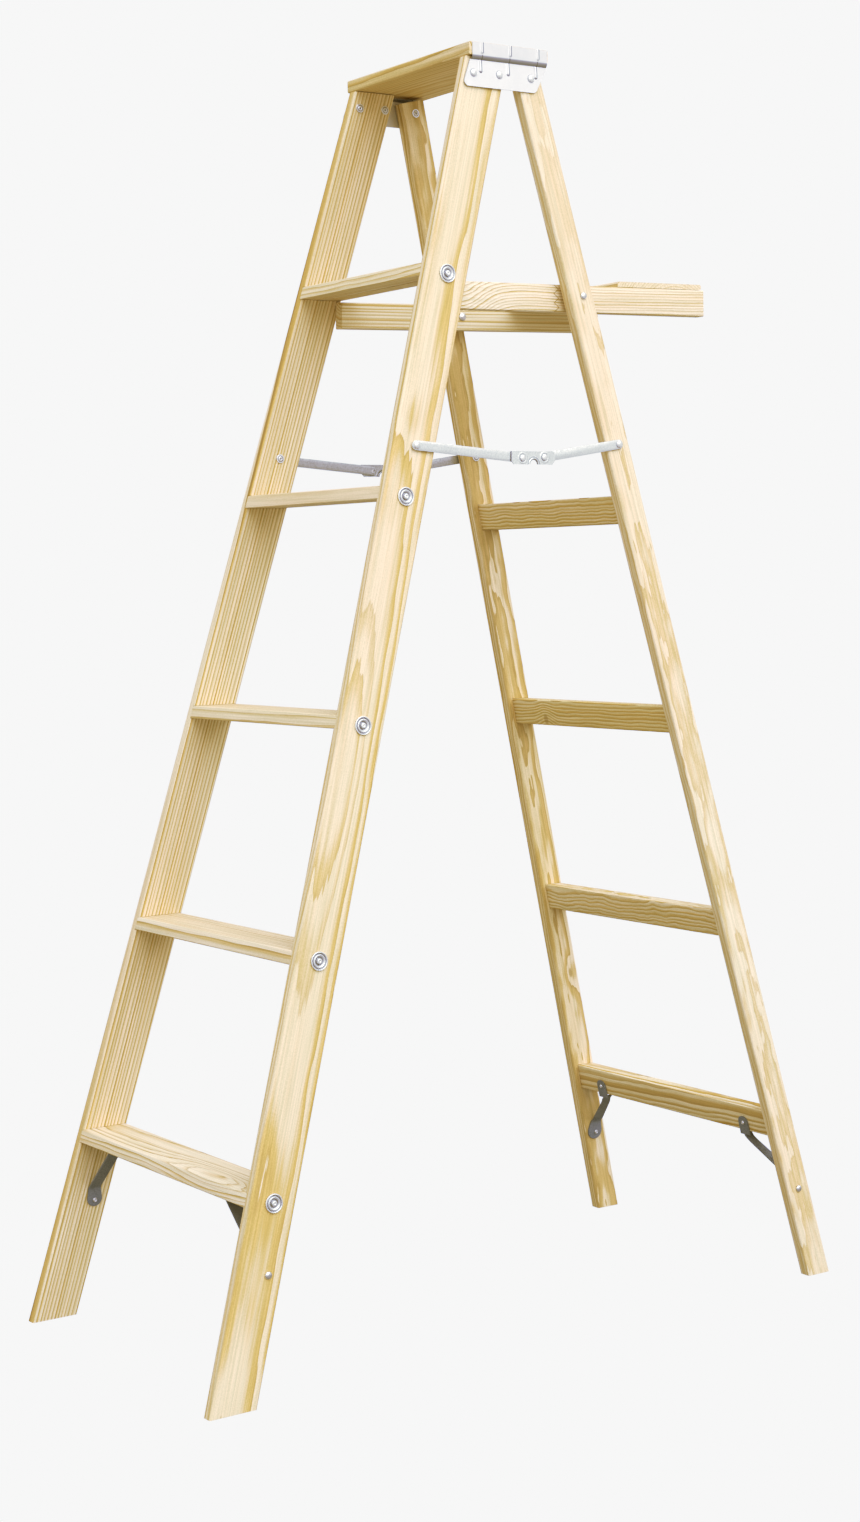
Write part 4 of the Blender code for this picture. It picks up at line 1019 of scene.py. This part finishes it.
def make_camera():
    yaw, pitch, roll = (math.radians(v) for v in (55.786, -4.304, -1.235))
    forward = Vector((-math.sin(yaw) * math.cos(pitch), math.cos(yaw) * math.cos(pitch), math.sin(pitch)))
    right = Vector((math.cos(yaw), math.sin(yaw), 0.0))
    up = right.cross(forward)
    across = right * math.cos(roll) + up * math.sin(roll)
    upward = up * math.cos(roll) - right * math.sin(roll)
    matrix = Matrix((across, upward, -forward)).transposed().to_4x4()
    matrix.translation = Vector((2.8449, -1.92923, 1.02391))
    data = bpy.data.cameras.new("camera")
    data.sensor_width = 36.0
    data.lens = 58.08
    data.clip_end = 100.0
    camera = add_object("camera", data)
    camera.matrix_world = matrix
    bpy.context.scene.camera = camera


def split_by_ray(n, shown, felt, output):
    """Join two shaders: one that the view shows and one that lights the object."""
    path = n.node("ShaderNodeLightPath")
    mix = n.node("ShaderNodeMixShader", (path.outputs["Is Camera Ray"], felt.outputs[0], shown.outputs[0]))
    n.link(mix.outputs[0], n.tree.nodes[output].inputs[0])


def make_world():
    world = bpy.data.worlds.new("studio")
    bpy.context.scene.world = world
    world.use_nodes = True
    n = Nodes(world.node_tree)
    shown = n.tree.nodes["Background"]
    n.link((*BACKDROP, 1.0), shown.inputs["Color"])
    n.link(1.0, shown.inputs["Strength"])
    direction = n.node("ShaderNodeTexCoord").outputs["Generated"]
    heading = n.node("ShaderNodeVectorMath", (direction, Vector((0.10, -0.50, 0.86)).normalized()),
                     operation="DOT_PRODUCT").outputs["Value"]
    ramp = n.node("ShaderNodeMapRange", {"Vector": heading, 7: (-1.0, -1.0, -1.0), 8: (1.0, 1.0, 1.0),
                                         9: LOW_LIGHT, 10: HIGH_LIGHT}, data_type="FLOAT_VECTOR")
    felt = n.node("ShaderNodeBackground", {"Color": ramp.outputs["Vector"], "Strength": 1.0})
    split_by_ray(n, shown, felt, "World Output")


def make_floor():
    size = 30.0
    mesh = bpy.data.meshes.new("floor")
    mesh.from_pydata(rectangle(-size, size, -size, size, 0.0), [], [(0, 1, 2, 3)])
    floor = add_object("floor", mesh)
    floor.location = (0.0, 0.0, -0.0005)
    material, n = new_material("floor")
    n.tree.nodes.remove(n.tree.nodes["Principled BSDF"])
    shown = n.node("ShaderNodeEmission", ((*BACKDROP, 1.0),))
    away = n.node("ShaderNodeVectorMath", (n.coordinates(),), operation="LENGTH").outputs["Value"]
    felt = n.node("ShaderNodeEmission", (n.mix(n.smooth(away, 1.2, 4.0), FLOOR_NEAR, FLOOR_FAR),))
    split_by_ray(n, shown, felt, "Material Output")
    mesh.materials.append(material)


def make_lights():
    data = bpy.data.lights.new("key", "SUN")
    data.energy = 1.92
    data.angle = math.radians(70)
    data.color = (0.95, 0.985, 1.06)
    key = add_object("key", data)
    key.rotation_euler = Vector((0.75, 0.05, 0.66)).to_track_quat("Z", "Y").to_euler()
    data = bpy.data.lights.new("softbox", "AREA")
    data.size = 1.6
    data.energy = 6.5
    softbox = add_object("softbox", data)
    softbox.location = (2.4, 0.1, 3.0)
    softbox.rotation_euler = (softbox.location - Vector((0.0, 0.1, 1.5))).to_track_quat("Z", "Y").to_euler()


def make_grade():
    """A mild print-like tone curve: deeper yellow in the shade and cleaner highlights."""
    view = bpy.context.scene.view_settings
    view.view_transform = "Standard"
    view.use_curve_mapping = True
    for curve, name in zip(view.curve_mapping.curves, ("red", "green", "blue")):
        points = GRADE.get(name, ((0.0, 0.0), (1.0, 1.0)))
        while len(curve.points) < len(points):
            curve.points.new(0.5, 0.5)
        for point, spot in zip(curve.points, points):
            point.location = spot
    view.curve_mapping.update()


def build():
    bright = metal("zinc_bright", (0.75, 0.75, 0.765), (0.64, 0.65, 0.67), 0.38, mottle=0.08, scale=420.0,
                   metallic=0.45, painted_shade=fold_painted_shade)
    spreader_steels = {}
    # the left spreader, on the far side, gets a darker copy of the zinc as painted shade, and the right one a
    # slightly lighter copy as painted light
    for label, tone in (("left", 0.70), ("right", 1.03)):
        colours = [(v * tone, v * tone * 1.02, v * tone * 1.01) for v in (0.71, 0.52)]
        spreader_steels[label] = [
            metal(f"zinc_{piece}_{label}", *colours, 0.36, mottle=0.35, scale=620.0, seed=4.0,
                  metallic=0.70, painted_shade=painted_shade)
            for piece, painted_shade in (("link", None), ("elbow", elbow_painted_shade))]
    strap_steel = metal("strap_steel", (0.25, 0.275, 0.34), (0.115, 0.125, 0.155), 0.36, mottle=0.35,
                        scale=700.0, seed=8.0, metallic=0.35)
    rivet_steel = metal("rivet_steel", (0.86, 0.87, 0.88), (0.66, 0.67, 0.68), 0.30, mottle=0.05, seed=12.0,
                        metallic=0.60, dent=0.00001, painted_shade=rivet_painted_shade)
    washer_steel = metal("washer_steel", (0.80, 0.81, 0.81), (0.62, 0.63, 0.63), 0.34, mottle=0.05,
                         seed=16.0, metallic=0.60, dent=0.00001, painted_shade=washer_painted_shade)
    small_steel = metal("small_steel", (0.80, 0.80, 0.80), (0.5, 0.5, 0.5), 0.30, mottle=0.08, seed=19.0,
                        metallic=0.9)
    make_front_rails()
    make_treads()
    make_rods(washer_steel)
    make_cap()
    make_rear_rails()
    make_rear_bars()
    make_shelf()
    make_shelf_bolts(small_steel)
    make_tread_braces(strap_steel, small_steel)
    make_rear_braces(strap_steel, small_steel)
    make_brackets(bright, rivet_steel)
    make_spreaders(spreader_steels, rivet_steel)
    make_camera()
    make_world()
    make_floor()
    make_lights()
    make_grade()


build()
